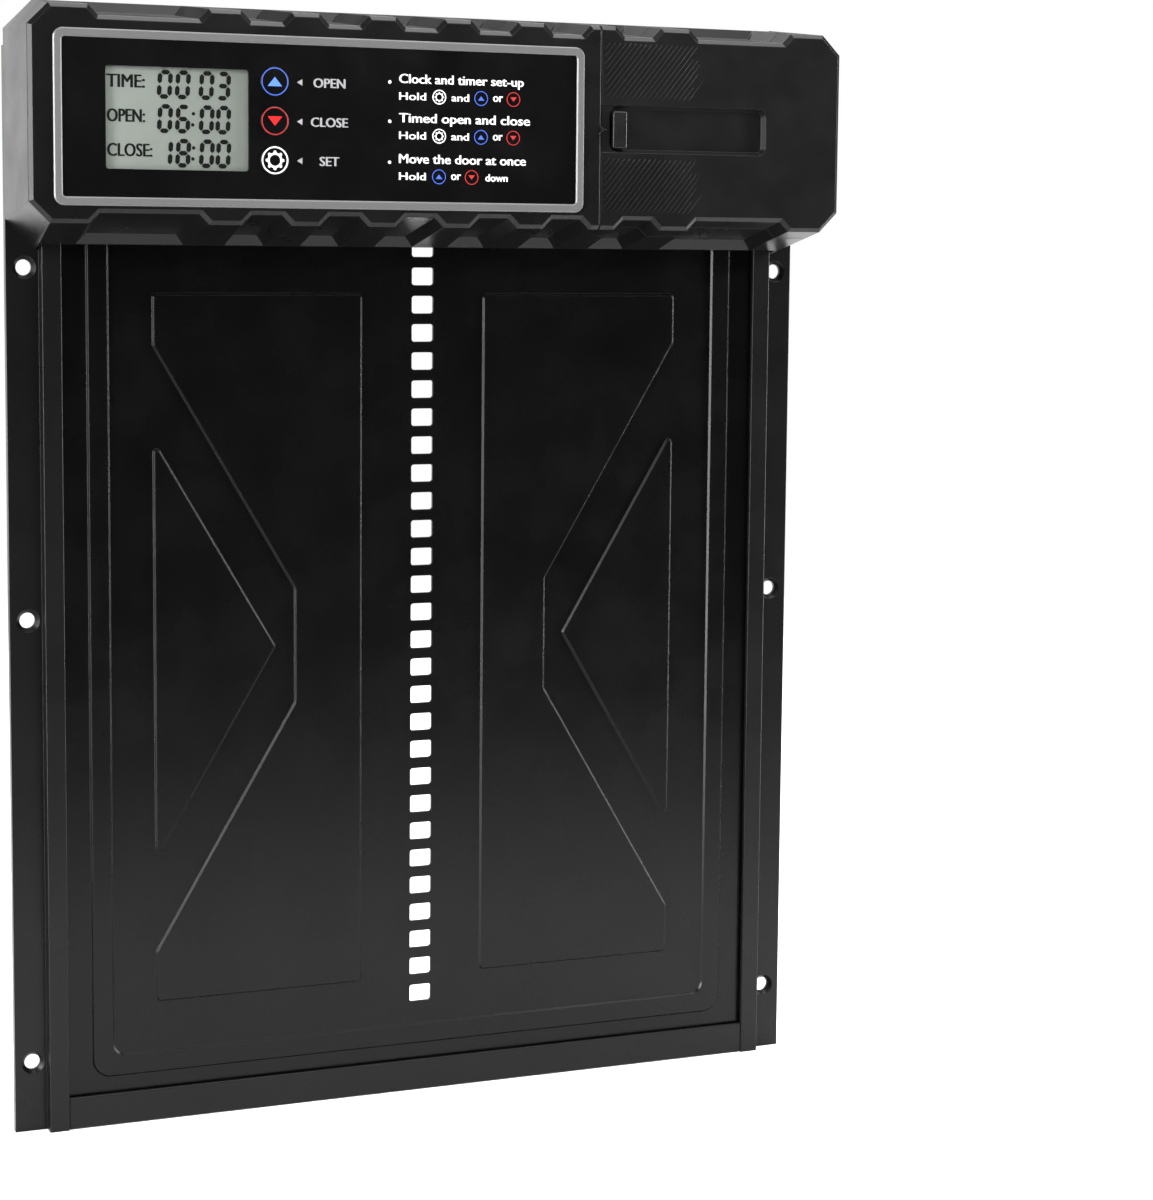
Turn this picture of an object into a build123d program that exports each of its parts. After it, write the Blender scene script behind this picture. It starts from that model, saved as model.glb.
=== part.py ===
from build123d import *
import math
import os

os.makedirs("parts", exist_ok=True)

# Automatic coop door: a perforated sliding panel in two side rails, lifted by a
# sprocket in the housing across the top.
# Millimetres. +Z up, +X to the right, the front faces -Y. The origin is the centre of
# the outer four mounting holes, on the wall plane. "Depth" is a distance in front of
# the wall plane, so it is measured along -Y.

# ---- driving dimensions ----------------------------------------------------
WIDTH = 310.0                       # over the side flanges
HOLE_X = 148.4                      # mounting holes, left and right of the middle
HOLE_SPAN_Z = 287.6                 # lowest to highest mounting hole
HOLE_MID_Z = 18.1                   # middle pair of mounting holes
HOLE_R = 2.8
COUNTERSINK_R = 4.15

RAIL_BOTTOM = -169.1
RAIL_TOP = 221.0
FLANGE_T = 3.0                      # flange thickness
FLANGE_IN = 143.4                   # inner edge of the flange, outer face of the channel
CHANNEL_WALL = 1.5
LIP_IN = 136.3                      # free edge of the channel lips
LIP_FRONT = 8.13                    # depth of the channel's front face
LIP_FRONT_T = 1.8
LIP_BACK = 2.5                      # depth of the rear lip's rear face
LIP_BACK_T = 1.2
RAIL_CORNER = 0.5

PANEL_BACK = 4.04                   # depth of the panel's rear face
PANEL_T = 1.2
PANEL_HALF = 141.0
PANEL_BOTTOM = -164.8
PANEL_TOP = 208.2
EMBOSS = 0.9                        # height of the pressed ribs and fields
PITCH = 10.5                        # pitch of the drive perforations
LOWEST_HOLE_Z = -131.7
TRAVEL_PITCHES = 30                 # the sprocket starts in hole 30 and ends in the lowest hole

SPROCKET_TEETH = 8
AXLE_DEPTH = 18.0
AXLE_Z = LOWEST_HOLE_Z + TRAVEL_PITCHES * PITCH
GEAR_MODULE = 0.7

HOUSING_BACK = 3.0                  # depth where the housing meets the flanges
HOUSING_FRONT = 42.3                # depth of the housing's front face
FRONT_HALF = 154.8
FRONT_LOW = 159.2
FRONT_HIGH = 233.2
FRONT_CORNER = 7.3
BACK_LOW = 150.0
BACK_HIGH = 237.2
BACK_CORNER = 10.5
EDGE_BEVEL = 1.5
WALL = 2.2
TOP_WALL = 5.8                      # top and bottom walls, thick enough for the grooves
CORNER_STEP = 3.0                   # the cavity's cut corners are smaller by this
GROOVE_DEPTH = 3.6
GROOVE_PITCH = 28.4
GROOVE_END = 12.0                   # depth where the grooves run out, in a short steep ramp
GROOVE_RAMP = 1.8                   # length of that ramp
GROOVE_NARROWING = 1.5              # the floor's half width loses this towards the ramp
GROOVE_LIP = 0.2                    # the ramp rises this far past the housing's face

COVER_BACK = 31.4                   # depth of the battery cover's rear edge
SEAM_X = 55.4                       # seam between shell and battery cover
SEAM_GAP = 0.5
HINGE_X = 149.5
HINGE_DEPTH = 36.8
HINGE_Z = (-24.0, 24.0)             # hinge lugs, from the housing's middle

REAR_COVER_BACK = 8.3
REAR_COVER_T = 2.0
SEAL_T = 1.0

BEZEL = (-146.4, 48.8, 165.3, 225.0)    # left, right, bottom, top
BEZEL_W = 3.0
BEZEL_CORNER = 3.5
BEZEL_PROUD = 0.7
BEZEL_IN_CORNER = 1.2
BEZEL_BEVEL = 0.45
OVERLAY_T = 1.0
LCD = (-128.4, -77.9, 177.9, 212.8)     # visible window: left, right, bottom, top
LCD_CORNER = 1.0
BUTTON_X = -68.6
BUTTON_Z = (209.1, 195.5, 181.9)        # open, close, set
BUTTON_R = 5.1
BUTTON_GAP = 0.15

CELL_R = 7.1                        # AA cells
CELL_LENGTH = 49.2

RIVET_X = 139.0                     # rivets that hold the sill to the rails' rear lips
RIVET_Z = -167.0
RIVET_R = 1.0
RIVET_HEAD_R = 1.6
RIVET_HEAD_T = 0.5
SHELL_SCREW_X = 149.2               # screws from behind, through the flanges into the shell
SHELL_SCREW_Z = (163.0, 214.0)
SHELL_SCREW_R = 1.5
SHELL_SCREW_HEAD_R = 2.9
SHELL_SCREW_HEAD_T = 1.4
SHELL_SCREW_TIP = 12.0
RAIL_SCREW_X = 139.2                # screws through the rear cover into the rails' front lips
RAIL_SCREW_Z = (165.0, 190.0, 214.0)
RAIL_SCREW_R = 1.25

# ---- derived ---------------------------------------------------------------
MID_Z = (FRONT_LOW + FRONT_HIGH) / 2
HOLE_HALF_Z = HOLE_SPAN_Z / 2
PANEL_FRONT = PANEL_BACK + PANEL_T
SPROCKET_R = SPROCKET_TEETH * PITCH / (2 * math.pi)
FACE_BACK = HOUSING_FRONT - WALL        # depth of the inside of the front wall
RIM_DEPTH = REAR_COVER_BACK + REAR_COVER_T + SEAL_T
COVER_FRONT_FACE = REAR_COVER_BACK + REAR_COVER_T


def facing(depth):
    """Plane parallel to the wall, at a depth, facing the front."""
    return Plane.XZ.offset(depth)


def block(x0, x1, depth0, depth1, z0, z1, mode=Mode.ADD):
    """Rectangular block between two x, two depths and two z."""
    with BuildSketch(facing(depth0)) as section:
        with Locations(((x0 + x1) / 2, (z0 + z1) / 2)):
            Rectangle(abs(x1 - x0), abs(z1 - z0))
    extrude(section.sketch, amount=depth1 - depth0, mode=mode)


def rod(x, z, radius, depth0, depth1, mode=Mode.ADD):
    """Round rod across the wall plane's normal, from one depth to another."""
    with BuildSketch(facing(depth0)) as section:
        with Locations((x, z)):
            Circle(radius)
    extrude(section.sketch, amount=depth1 - depth0, mode=mode)


def cross_rod(depth, z, radius, x0, x1, mode=Mode.ADD):
    """Round rod along X."""
    with BuildSketch(Plane.YZ.offset(x0)) as section:
        with Locations((-depth, z)):
            Circle(radius)
    extrude(section.sketch, amount=x1 - x0, mode=mode)


def beyond(box, margin):
    """A left, right, bottom, top box grown by a margin all round."""
    return (box[0] - margin, box[1] + margin, box[2] - margin, box[3] + margin)


def plate(box, corner, depth0, depth1, mode=Mode.ADD):
    """Plate with rounded corners over a left, right, bottom, top box."""
    with BuildSketch(facing(depth0)) as section:
        with Locations(((box[0] + box[1]) / 2, (box[2] + box[3]) / 2)):
            RectangleRounded(box[1] - box[0], box[3] - box[2], corner)
    extrude(section.sketch, amount=depth1 - depth0, mode=mode)


def screw(x, z, shank_r, head_depth, tip_depth, head_t=1.2):
    """Pan-head screw along the depth, its slotted head at one depth and its tip at another."""
    outward = 1 if head_depth > tip_depth else -1
    top = head_depth + outward * head_t
    rod(x, z, shank_r, tip_depth, head_depth)
    rod(x, z, 2 * shank_r, head_depth, top)
    slot = 0.5 * head_t
    block(x - 1.6 * shank_r, x + 1.6 * shank_r, top - outward * slot, top, z - 0.3, z + 0.3, Mode.SUBTRACT)
    block(x - 0.3, x + 0.3, top - outward * slot, top, z - 1.6 * shank_r, z + 1.6 * shank_r, Mode.SUBTRACT)


def save(part, name):
    part.label = name
    export_step(part, "parts/" + name + ".step")


# ---- side rails ------------------------------------------------------------
def rail(side):
    """Extruded rail: a mounting flange and an inward channel for the panel."""
    with BuildPart() as piece:
        with BuildSketch(Plane.XY.offset(RAIL_BOTTOM)):
            with BuildLine():
                Polyline(
                    (WIDTH / 2, 0),
                    (WIDTH / 2, -FLANGE_T),
                    (FLANGE_IN, -FLANGE_T),
                    (FLANGE_IN, -LIP_FRONT),
                    (LIP_IN, -LIP_FRONT),
                    (LIP_IN, -LIP_FRONT + LIP_FRONT_T),
                    (FLANGE_IN - CHANNEL_WALL, -LIP_FRONT + LIP_FRONT_T),
                    (FLANGE_IN - CHANNEL_WALL, -LIP_BACK - LIP_BACK_T),
                    (LIP_IN, -LIP_BACK - LIP_BACK_T),
                    (LIP_IN, -LIP_BACK),
                    (FLANGE_IN - CHANNEL_WALL, -LIP_BACK),
                    (FLANGE_IN - CHANNEL_WALL, 0),
                    close=True,
                )
            make_face()
        extrude(amount=RAIL_TOP - RAIL_BOTTOM)
        front_corners = piece.edges().filter_by(Axis.Z).group_by(Axis.Y)[0]
        fillet(front_corners, RAIL_CORNER)
        with Locations(facing(FLANGE_T)):
            with Locations((HOLE_X, -HOLE_HALF_Z), (HOLE_X, HOLE_MID_Z), (HOLE_X, HOLE_HALF_Z)):
                CounterSinkHole(HOLE_R, COUNTERSINK_R)
        for z in SHELL_SCREW_Z:
            rod(SHELL_SCREW_X, z, SHELL_SCREW_R, 0, FLANGE_T, Mode.SUBTRACT)
            with BuildSketch(facing(0)):
                with Locations((SHELL_SCREW_X, z)):
                    Circle(SHELL_SCREW_HEAD_R)
            with BuildSketch(facing(SHELL_SCREW_HEAD_T)):
                with Locations((SHELL_SCREW_X, z)):
                    Circle(SHELL_SCREW_R)
            loft(mode=Mode.SUBTRACT)
        for z in RAIL_SCREW_Z:
            rod(RAIL_SCREW_X, z, RAIL_SCREW_R, LIP_FRONT - LIP_FRONT_T, LIP_FRONT, Mode.SUBTRACT)
        rod(RIVET_X, RIVET_Z, RIVET_R, LIP_BACK, LIP_BACK + LIP_BACK_T, Mode.SUBTRACT)
        if side < 0:
            mirror(about=Plane.YZ, mode=Mode.REPLACE)
    return piece.part

save(rail(1), "right_rail")
save(rail(-1), "left_rail")

# ---- bottom sill -----------------------------------------------------------
SILL_HALF = 136.1
SILL_TOP = -157.2
SILL_BOTTOM = -168.6
SILL_FRONT = 7.6
SILL_T = 1.2
SILL_TAB_HALF = 141.6
SILL_BACK = 1.2

with BuildPart() as bottom_sill:
    block(-SILL_HALF, SILL_HALF, SILL_FRONT - SILL_T, SILL_FRONT, SILL_BOTTOM, SILL_TOP)
    block(-SILL_HALF, SILL_HALF, SILL_BACK, SILL_FRONT, SILL_BOTTOM, SILL_BOTTOM + SILL_T)
    block(-SILL_TAB_HALF, SILL_TAB_HALF, SILL_BACK, SILL_BACK + SILL_T, SILL_BOTTOM, SILL_TOP)
    top_edge = bottom_sill.edges().filter_by(Axis.X).group_by(Axis.Z)[-1].sort_by(Axis.Y)[0]
    fillet(top_edge, 0.5)
    for x in (-RIVET_X, RIVET_X):
        rod(x, RIVET_Z, RIVET_R, SILL_BACK, SILL_BACK + SILL_T, Mode.SUBTRACT)
save(bottom_sill.part, "bottom_sill")

with BuildPart() as sill_rivets:
    for x in (-RIVET_X, RIVET_X):
        rod(x, RIVET_Z, RIVET_HEAD_R, SILL_BACK - RIVET_HEAD_T, SILL_BACK)
        rod(x, RIVET_Z, RIVET_R, SILL_BACK, LIP_BACK + LIP_BACK_T)
        rod(x, RIVET_Z, RIVET_HEAD_R, LIP_BACK + LIP_BACK_T, LIP_BACK + LIP_BACK_T + RIVET_HEAD_T)
save(sill_rivets.part, "sill_rivets")

# ---- sliding panel ---------------------------------------------------------
PERFORATION = (8.5, 6.5)
PERFORATION_CORNER = 1.0
HOLE_COUNT = 32
RIDGE_OUT = 127.2                   # raised ridge round the panel: half width, bottom, top
RIDGE_BOTTOM = -151.4
RIDGE_TOP = 198.0
RIDGE_W = 8.2
RIDGE_CORNER = 7.0
RIDGE_IN_CORNER = 4.5
FIELD_IN = 23.9
FIELD_OUT = 103.3
FIELD_MID_Z = 5.0
FIELD_HALF_Z = 130.0
FIELD_SHOULDER_Z = 111.1
FIELD_CORNER = 2.0
WAIST_X = 50.2
WAIST_HALF_Z = 21.3
TRIANGLE_HALF_Z = 78.0
TRIANGLE_TIP_X = 57.2
TRIANGLE_CORNER = 1.5
PRESS_INSET = 1.0                   # the hollow behind a pressed shape is smaller by this
PRESS_TAPER = 38.0                  # slope of the pressed edges


def field_outline(side):
    """Pressed field beside the perforations, notched towards the middle."""
    with BuildLine() as line:
        Polyline(
            (side * FIELD_IN, FIELD_MID_Z - FIELD_HALF_Z),
            (side * FIELD_OUT, FIELD_MID_Z - FIELD_HALF_Z),
            (side * FIELD_OUT, FIELD_MID_Z - FIELD_SHOULDER_Z),
            (side * WAIST_X, FIELD_MID_Z - WAIST_HALF_Z),
            (side * WAIST_X, FIELD_MID_Z + WAIST_HALF_Z),
            (side * FIELD_OUT, FIELD_MID_Z + FIELD_SHOULDER_Z),
            (side * FIELD_OUT, FIELD_MID_Z + FIELD_HALF_Z),
            (side * FIELD_IN, FIELD_MID_Z + FIELD_HALF_Z),
            close=True,
        )
    make_face(line.line)


def triangle_outline(side):
    """Pressed triangle in the field's notch."""
    with BuildLine() as line:
        Polyline(
            (side * FIELD_OUT, FIELD_MID_Z - TRIANGLE_HALF_Z),
            (side * FIELD_OUT, FIELD_MID_Z + TRIANGLE_HALF_Z),
            (side * TRIANGLE_TIP_X, FIELD_MID_Z),
            close=True,
        )
    make_face(line.line)


def press(shape, side, corner, inset, depth, mode):
    """Raise or sink one pressed shape by the emboss height, with sloped edges."""
    with BuildSketch(facing(depth)) as pressed:
        shape(side)
        fillet(pressed.vertices(), corner)
        if inset:
            offset(amount=-inset, kind=Kind.INTERSECTION)
    extrude(pressed.sketch, amount=EMBOSS, taper=PRESS_TAPER, mode=mode)


with BuildPart() as door_panel:
    block(-PANEL_HALF, PANEL_HALF, PANEL_BACK, PANEL_FRONT, PANEL_BOTTOM, PANEL_TOP)
    for side in (-1, 1):
        for shape, corner in ((field_outline, FIELD_CORNER), (triangle_outline, TRIANGLE_CORNER)):
            press(shape, side, corner, 0, PANEL_FRONT, Mode.ADD)
            press(shape, side, corner, PRESS_INSET, PANEL_BACK, Mode.SUBTRACT)
    with BuildSketch(facing(PANEL_FRONT)):
        with Locations((0, (RIDGE_BOTTOM + RIDGE_TOP) / 2)):
            width = 2 * RIDGE_OUT
            height = RIDGE_TOP - RIDGE_BOTTOM
            RectangleRounded(width, height, RIDGE_CORNER)
            RectangleRounded(width - 2 * RIDGE_W, height - 2 * RIDGE_W, RIDGE_IN_CORNER, mode=Mode.SUBTRACT)
    extrude(amount=EMBOSS, taper=PRESS_TAPER)
    with BuildSketch(facing(PANEL_BACK)):
        with Locations((0, LOWEST_HOLE_Z + PITCH * (HOLE_COUNT - 1) / 2)):
            with GridLocations(1, PITCH, 1, HOLE_COUNT):
                RectangleRounded(*PERFORATION, PERFORATION_CORNER)
    extrude(amount=PANEL_T, mode=Mode.SUBTRACT)
save(door_panel.part, "door_panel")


# ---- housing: the outer form that the shell and the battery cover share ----
def housing_outline(half_width, low, high, corner, depth):
    """Housing outline at one depth: a rectangle with its corners cut off."""
    with BuildSketch(facing(depth)) as sketch:
        with Locations((0, (low + high) / 2)):
            Rectangle(2 * half_width, high - low)
        chamfer(sketch.vertices(), corner)
    return sketch.sketch


def groove(x, half_floor, front_edge, back_edge, outward):
    """Cutter for one groove: its floor and flanks narrow towards the ramp at the back."""
    reach = 6.0                         # how far the cutter stands out of the housing
    sections = (
        (BEVEL_DEPTH, half_floor, GROOVE_DEPTH),
        (GROOVE_END + GROOVE_RAMP, half_floor - GROOVE_NARROWING, GROOVE_DEPTH - GROOVE_LIP),
        (GROOVE_END, half_floor - GROOVE_NARROWING + GROOVE_DEPTH - GROOVE_LIP, -GROOVE_LIP),
    )
    sketches = []
    for depth, floor, sink in sections:
        share = (depth - HOUSING_BACK) / (BEVEL_DEPTH - HOUSING_BACK)
        edge = back_edge + share * (front_edge - back_edge)
        with BuildSketch(facing(depth)) as sketch:
            with BuildLine():
                Polyline(
                    (x - floor, edge - outward * sink),
                    (x + floor, edge - outward * sink),
                    (x + floor + sink + reach, edge + outward * reach),
                    (x - floor - sink - reach, edge + outward * reach),
                    close=True,
                )
            make_face()
        sketches.append(sketch.sketch)
    return loft(sketches, ruled=True, mode=Mode.PRIVATE)


def castellated(inset, depth):
    """The grooved front outline, moved inwards by an inset, at one depth."""
    half = FRONT_HALF - inset
    corner = FRONT_CORNER - inset * (2 - math.sqrt(2))
    widen = inset * (math.sqrt(2) - 1)

    def edge(z, inward):
        points = [(-half + corner, z + inward * inset)]
        for x, half_floor in sorted(GROOVES):
            floor = half_floor + widen
            mouth = floor + GROOVE_DEPTH
            for dx, sink in ((-mouth, 0), (-floor, GROOVE_DEPTH), (floor, GROOVE_DEPTH), (mouth, 0)):
                points.append((x + dx, z + inward * (inset + sink)))
        return points + [(half - corner, z + inward * inset)]

    low = FRONT_LOW + inset + corner
    high = FRONT_HIGH - inset - corner
    sides = [[(half, high), (half, low)], [(-half, low), (-half, high)]]
    with BuildSketch(facing(depth)) as sketch:
        with BuildLine():
            Polyline(
                *edge(FRONT_HIGH, -1), *sides[0], *reversed(edge(FRONT_LOW, 1)), *sides[1], close=True
            )
        make_face()
    return sketch.sketch


BEVEL_DEPTH = HOUSING_FRONT - EDGE_BEVEL
GROOVES = [(side * 112.8, 17.6) for side in (-1, 1)]              # long grooves: middle, half floor
GROOVES += [(GROOVE_PITCH * (i - 2.5), 5.6) for i in range(6)]    # short grooves

with BuildPart() as housing_form:
    loft(
        [
            housing_outline(WIDTH / 2, BACK_LOW, BACK_HIGH, BACK_CORNER, HOUSING_BACK),
            housing_outline(FRONT_HALF, FRONT_LOW, FRONT_HIGH, FRONT_CORNER, BEVEL_DEPTH),
        ],
        ruled=True,
    )
    for x, half_floor in GROOVES:
        add(groove(x, half_floor, FRONT_HIGH, BACK_HIGH, 1), mode=Mode.SUBTRACT)
        add(groove(x, half_floor, FRONT_LOW, BACK_LOW, -1), mode=Mode.SUBTRACT)
    loft([castellated(0, BEVEL_DEPTH), castellated(EDGE_BEVEL, HOUSING_FRONT)], ruled=True)

back_opening = (
    WIDTH / 2 - WALL,
    BACK_LOW + TOP_WALL,
    BACK_HIGH - TOP_WALL,
    BACK_CORNER - CORNER_STEP,
)
front_inside = (
    FRONT_HALF - WALL,
    FRONT_LOW + TOP_WALL,
    FRONT_HIGH - TOP_WALL,
    FRONT_CORNER - CORNER_STEP,
)
with BuildPart() as housing_cavity:
    loft(
        [housing_outline(*back_opening, HOUSING_BACK), housing_outline(*front_inside, FACE_BACK)],
        ruled=True,
    )

# ---- front shell -----------------------------------------------------------
DIVIDER_T = 2.4
KEEPER_Z = (193.0, 200.0)           # opening in the divider for the latch tongue
KEEPER_DEPTH = (34.0, 38.0)
LCD_FRAME = 1.8                     # LCD glass beyond the visible window
LCD_BACK = 39.2
STANDOFF_R = 2.6
BOARD_FRONT = 36.5
BOARD_T = 1.6
BOARD = (-137.0, -52.0, 170.0, 222.0)
BOARD_SCREW_R = 1.1
BOARD_SCREWS = [(x, z) for x in (-134.3, -55.0) for z in (172.6, 219.4)]
BOSS_R = 3.6
BOSS_END = 16.0
PIN_R = 1.2
PIN_CLEARANCE = 0.05
LUG_R = 2.6                         # the shell's hinge lugs and the arms that carry them
LUG_T = 6.0
LUG_ARM = 12.0
LUG_ARM_T = 3.2
LUG_FOOT = 4.0
LUG_FOOT_DEPTH = 27.5
HINGE_RELIEF_R = 7.0
STEM_R = 2.6
STEM_CLEARANCE = 0.3
NOTCH_HALF = 143.9                  # opening for the rails and the panel


def hinge_lug(z):
    """One lug of the cover hinge, with its arm and foot back to the shell's side wall."""
    with BuildSketch(Plane.XY.offset(z - LUG_T / 2)) as lug:
        with Locations((HINGE_X, -HINGE_DEPTH)):
            Circle(LUG_R)
        with Locations((HINGE_X, -HINGE_DEPTH + LUG_ARM / 2)):
            Rectangle(LUG_ARM_T, LUG_ARM)
        with Locations((HINGE_X + LUG_ARM_T / 2, -LUG_FOOT_DEPTH)):
            Rectangle(2 * LUG_ARM_T, LUG_FOOT)
        with Locations((HINGE_X, -HINGE_DEPTH)):
            Circle(PIN_R + PIN_CLEARANCE, mode=Mode.SUBTRACT)
    extrude(lug.sketch, amount=LUG_T)


with BuildPart() as front_shell:
    add(housing_form.part)
    add(housing_cavity.part, mode=Mode.SUBTRACT)
    block(SEAM_X - DIVIDER_T, SEAM_X, RIM_DEPTH, HOUSING_FRONT - EDGE_BEVEL, FRONT_LOW + 2, FRONT_HIGH - 2)
    for x in (-SHELL_SCREW_X, SHELL_SCREW_X):
        for z in SHELL_SCREW_Z:
            rod(x, z, BOSS_R, HOUSING_BACK, BOSS_END)
    for x, z in BOARD_SCREWS:
        rod(x, z, STANDOFF_R, BOARD_FRONT, FACE_BACK)
    block(SEAM_X, WIDTH, COVER_BACK - 0.3, HOUSING_FRONT + 1, BACK_LOW, BACK_HIGH, Mode.SUBTRACT)
    with BuildSketch(Plane.XY.offset(BACK_LOW)):
        with Locations((HINGE_X, -HINGE_DEPTH)):
            Circle(HINGE_RELIEF_R)
    extrude(amount=BACK_HIGH - BACK_LOW, mode=Mode.SUBTRACT)
    for z in HINGE_Z:
        hinge_lug(MID_Z + z)
    block(-NOTCH_HALF, NOTCH_HALF, HOUSING_BACK - 1, RIM_DEPTH, BACK_LOW - 1, BACK_HIGH + 1, Mode.SUBTRACT)
    block(SEAM_X - DIVIDER_T - 1, SEAM_X, *KEEPER_DEPTH, *KEEPER_Z, Mode.SUBTRACT)
    plate(BEZEL, BEZEL_CORNER, HOUSING_FRONT - OVERLAY_T, HOUSING_FRONT, Mode.SUBTRACT)
    glass = beyond(LCD, LCD_FRAME + 0.1)
    block(*glass[:2], LCD_BACK, HOUSING_FRONT, *glass[2:], Mode.SUBTRACT)
    for z in BUTTON_Z:
        rod(BUTTON_X, z, STEM_R + STEM_CLEARANCE, FACE_BACK, HOUSING_FRONT, Mode.SUBTRACT)
        rod(BUTTON_X, z, BUTTON_R + BUTTON_GAP, FACE_BACK + 0.8, HOUSING_FRONT, Mode.SUBTRACT)
    for x in (-SHELL_SCREW_X, SHELL_SCREW_X):
        for z in SHELL_SCREW_Z:
            rod(x, z, SHELL_SCREW_R, HOUSING_BACK, SHELL_SCREW_TIP + 1, Mode.SUBTRACT)
    for x, z in BOARD_SCREWS:
        rod(x, z, BOARD_SCREW_R, BOARD_FRONT, FACE_BACK - 0.5, Mode.SUBTRACT)
save(front_shell.part, "front_shell")

with BuildPart() as shell_screws:
    for x in (-SHELL_SCREW_X, SHELL_SCREW_X):
        for z in SHELL_SCREW_Z:
            with BuildSketch(facing(0)) as head:
                with Locations((x, z)):
                    Circle(SHELL_SCREW_HEAD_R)
            with BuildSketch(facing(SHELL_SCREW_HEAD_T)) as neck:
                with Locations((x, z)):
                    Circle(SHELL_SCREW_R)
            loft([head.sketch, neck.sketch])
            rod(x, z, SHELL_SCREW_R, SHELL_SCREW_HEAD_T, SHELL_SCREW_TIP)
            for slot in ((1.6, 0.3), (0.3, 1.6)):
                block(x - slot[0], x + slot[0], 0, 0.7, z - slot[1], z + slot[1], Mode.SUBTRACT)
save(shell_screws.part, "shell_screws")

# ---- rear cover and seal ---------------------------------------------------
REAR_COVER_HALF = 143.3
REAR_COVER_Z = (BACK_LOW + 2.0, BACK_HIGH - 1.8)
SEAL_Z = ((BACK_LOW + 2.6, BACK_LOW + 6.4), (BACK_HIGH - 6.0, BACK_HIGH - 2.2))
SPROCKET_ROOM = 15.5                # room above and below the axle for the sprocket and its gear
SPROCKET_OPENING = (-6.0, 14.0, AXLE_Z - SPROCKET_ROOM, AXLE_Z + SPROCKET_ROOM)
BRACKET_SCREWS = [(x, z) for x in (-14.0, 21.0) for z in (173.0, 195.0)]
BRACKET_SCREW_R = 1.2

with BuildPart() as rear_cover:
    block(-REAR_COVER_HALF, REAR_COVER_HALF, REAR_COVER_BACK, COVER_FRONT_FACE, *REAR_COVER_Z)
    block(*SPROCKET_OPENING[:2], REAR_COVER_BACK, COVER_FRONT_FACE, *SPROCKET_OPENING[2:], Mode.SUBTRACT)
    for x in (-RAIL_SCREW_X, RAIL_SCREW_X):
        for z in RAIL_SCREW_Z:
            rod(x, z, RAIL_SCREW_R, REAR_COVER_BACK, COVER_FRONT_FACE, Mode.SUBTRACT)
    for x, z in BRACKET_SCREWS:
        rod(x, z, BRACKET_SCREW_R, REAR_COVER_BACK, COVER_FRONT_FACE, Mode.SUBTRACT)
save(rear_cover.part, "rear_cover")

with BuildPart() as rail_screws:
    for x in (-RAIL_SCREW_X, RAIL_SCREW_X):
        for z in RAIL_SCREW_Z:
            screw(x, z, RAIL_SCREW_R, COVER_FRONT_FACE, LIP_FRONT - LIP_FRONT_T)
save(rail_screws.part, "rail_screws")

with BuildPart() as housing_seal:
    for z0, z1 in SEAL_Z:
        block(-REAR_COVER_HALF, REAR_COVER_HALF, COVER_FRONT_FACE, RIM_DEPTH, z0, z1)
save(housing_seal.part, "housing_seal")

# ---- gear train ------------------------------------------------------------
OUTPUT_TEETH = 30
LAY_TEETH = (34, 20)                    # large gear and pinion of the compound gear
PINION_TEETH = 14
LAY_ANGLE = 118.0                       # from the sprocket axle to the compound gear
MOTOR_ANGLE = 90.0                      # from the compound gear to the motor
PRESSURE_ANGLE = math.radians(20)
BACKLASH = 0.12


def along(start, angle, distance):
    """The depth and height reached from one axis at an angle, measured from +Y to +Z."""
    turn = math.radians(angle)
    return (start[0] - distance * math.cos(turn), start[1] + distance * math.sin(turn))


def gap_phase(teeth, turn, other_teeth, line):
    """Turn of a gear that meshes with another one along a line of centres, in degrees."""
    phase = (line - turn) * teeth / 360
    return line + 180 + (phase - 0.5) * 360 / other_teeth


AXLE = (AXLE_DEPTH, AXLE_Z)
LAYSHAFT = along(AXLE, LAY_ANGLE, GEAR_MODULE * (OUTPUT_TEETH + LAY_TEETH[1]) / 2)
MOTOR = along(LAYSHAFT, MOTOR_ANGLE, GEAR_MODULE * (LAY_TEETH[0] + PINION_TEETH) / 2)
LAY_PINION_TURN = gap_phase(OUTPUT_TEETH, 0, LAY_TEETH[1], LAY_ANGLE)
PINION_TURN = gap_phase(LAY_TEETH[0], 0, PINION_TEETH, MOTOR_ANGLE)


def tooth_points(teeth, turn):
    """Outline of one gear tooth: two involute flanks about the direction of the turn."""
    pitch_r = GEAR_MODULE * teeth / 2
    base_r = pitch_r * math.cos(PRESSURE_ANGLE)
    root_r = pitch_r - 1.25 * GEAR_MODULE
    tip_r = pitch_r + 0.95 * GEAR_MODULE
    half = (math.pi * GEAR_MODULE / 2 - BACKLASH) / 2 / pitch_r
    at_pitch = math.tan(PRESSURE_ANGLE) - PRESSURE_ANGLE
    flank = [(root_r - 0.3, half + at_pitch)]
    steps = 5
    start_r = max(base_r, root_r)
    for i in range(steps + 1):
        r = start_r + (tip_r - start_r) * i / steps
        roll = math.sqrt(max((r / base_r) ** 2 - 1, 0))
        flank.append((r, half + at_pitch - (roll - math.atan(roll))))
    both = [(r, -angle) for r, angle in flank] + [(r, angle) for r, angle in reversed(flank)]
    middle = math.radians(turn)
    return [(r * math.cos(middle + angle), r * math.sin(middle + angle)) for r, angle in both]


def gear(axis, teeth, turn, x0, x1):
    """Spur gear along X about an axis, with one tooth pointing along the turn."""
    with BuildSketch(Plane.YZ.offset(x0)) as wheel:
        with Locations((-axis[0], axis[1])):
            Circle(GEAR_MODULE * (teeth / 2 - 1.25))
            for i in range(teeth):
                Polygon(*tooth_points(teeth, turn + 360 * i / teeth), align=None)
    extrude(wheel.sketch, amount=x1 - x0)


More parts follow.
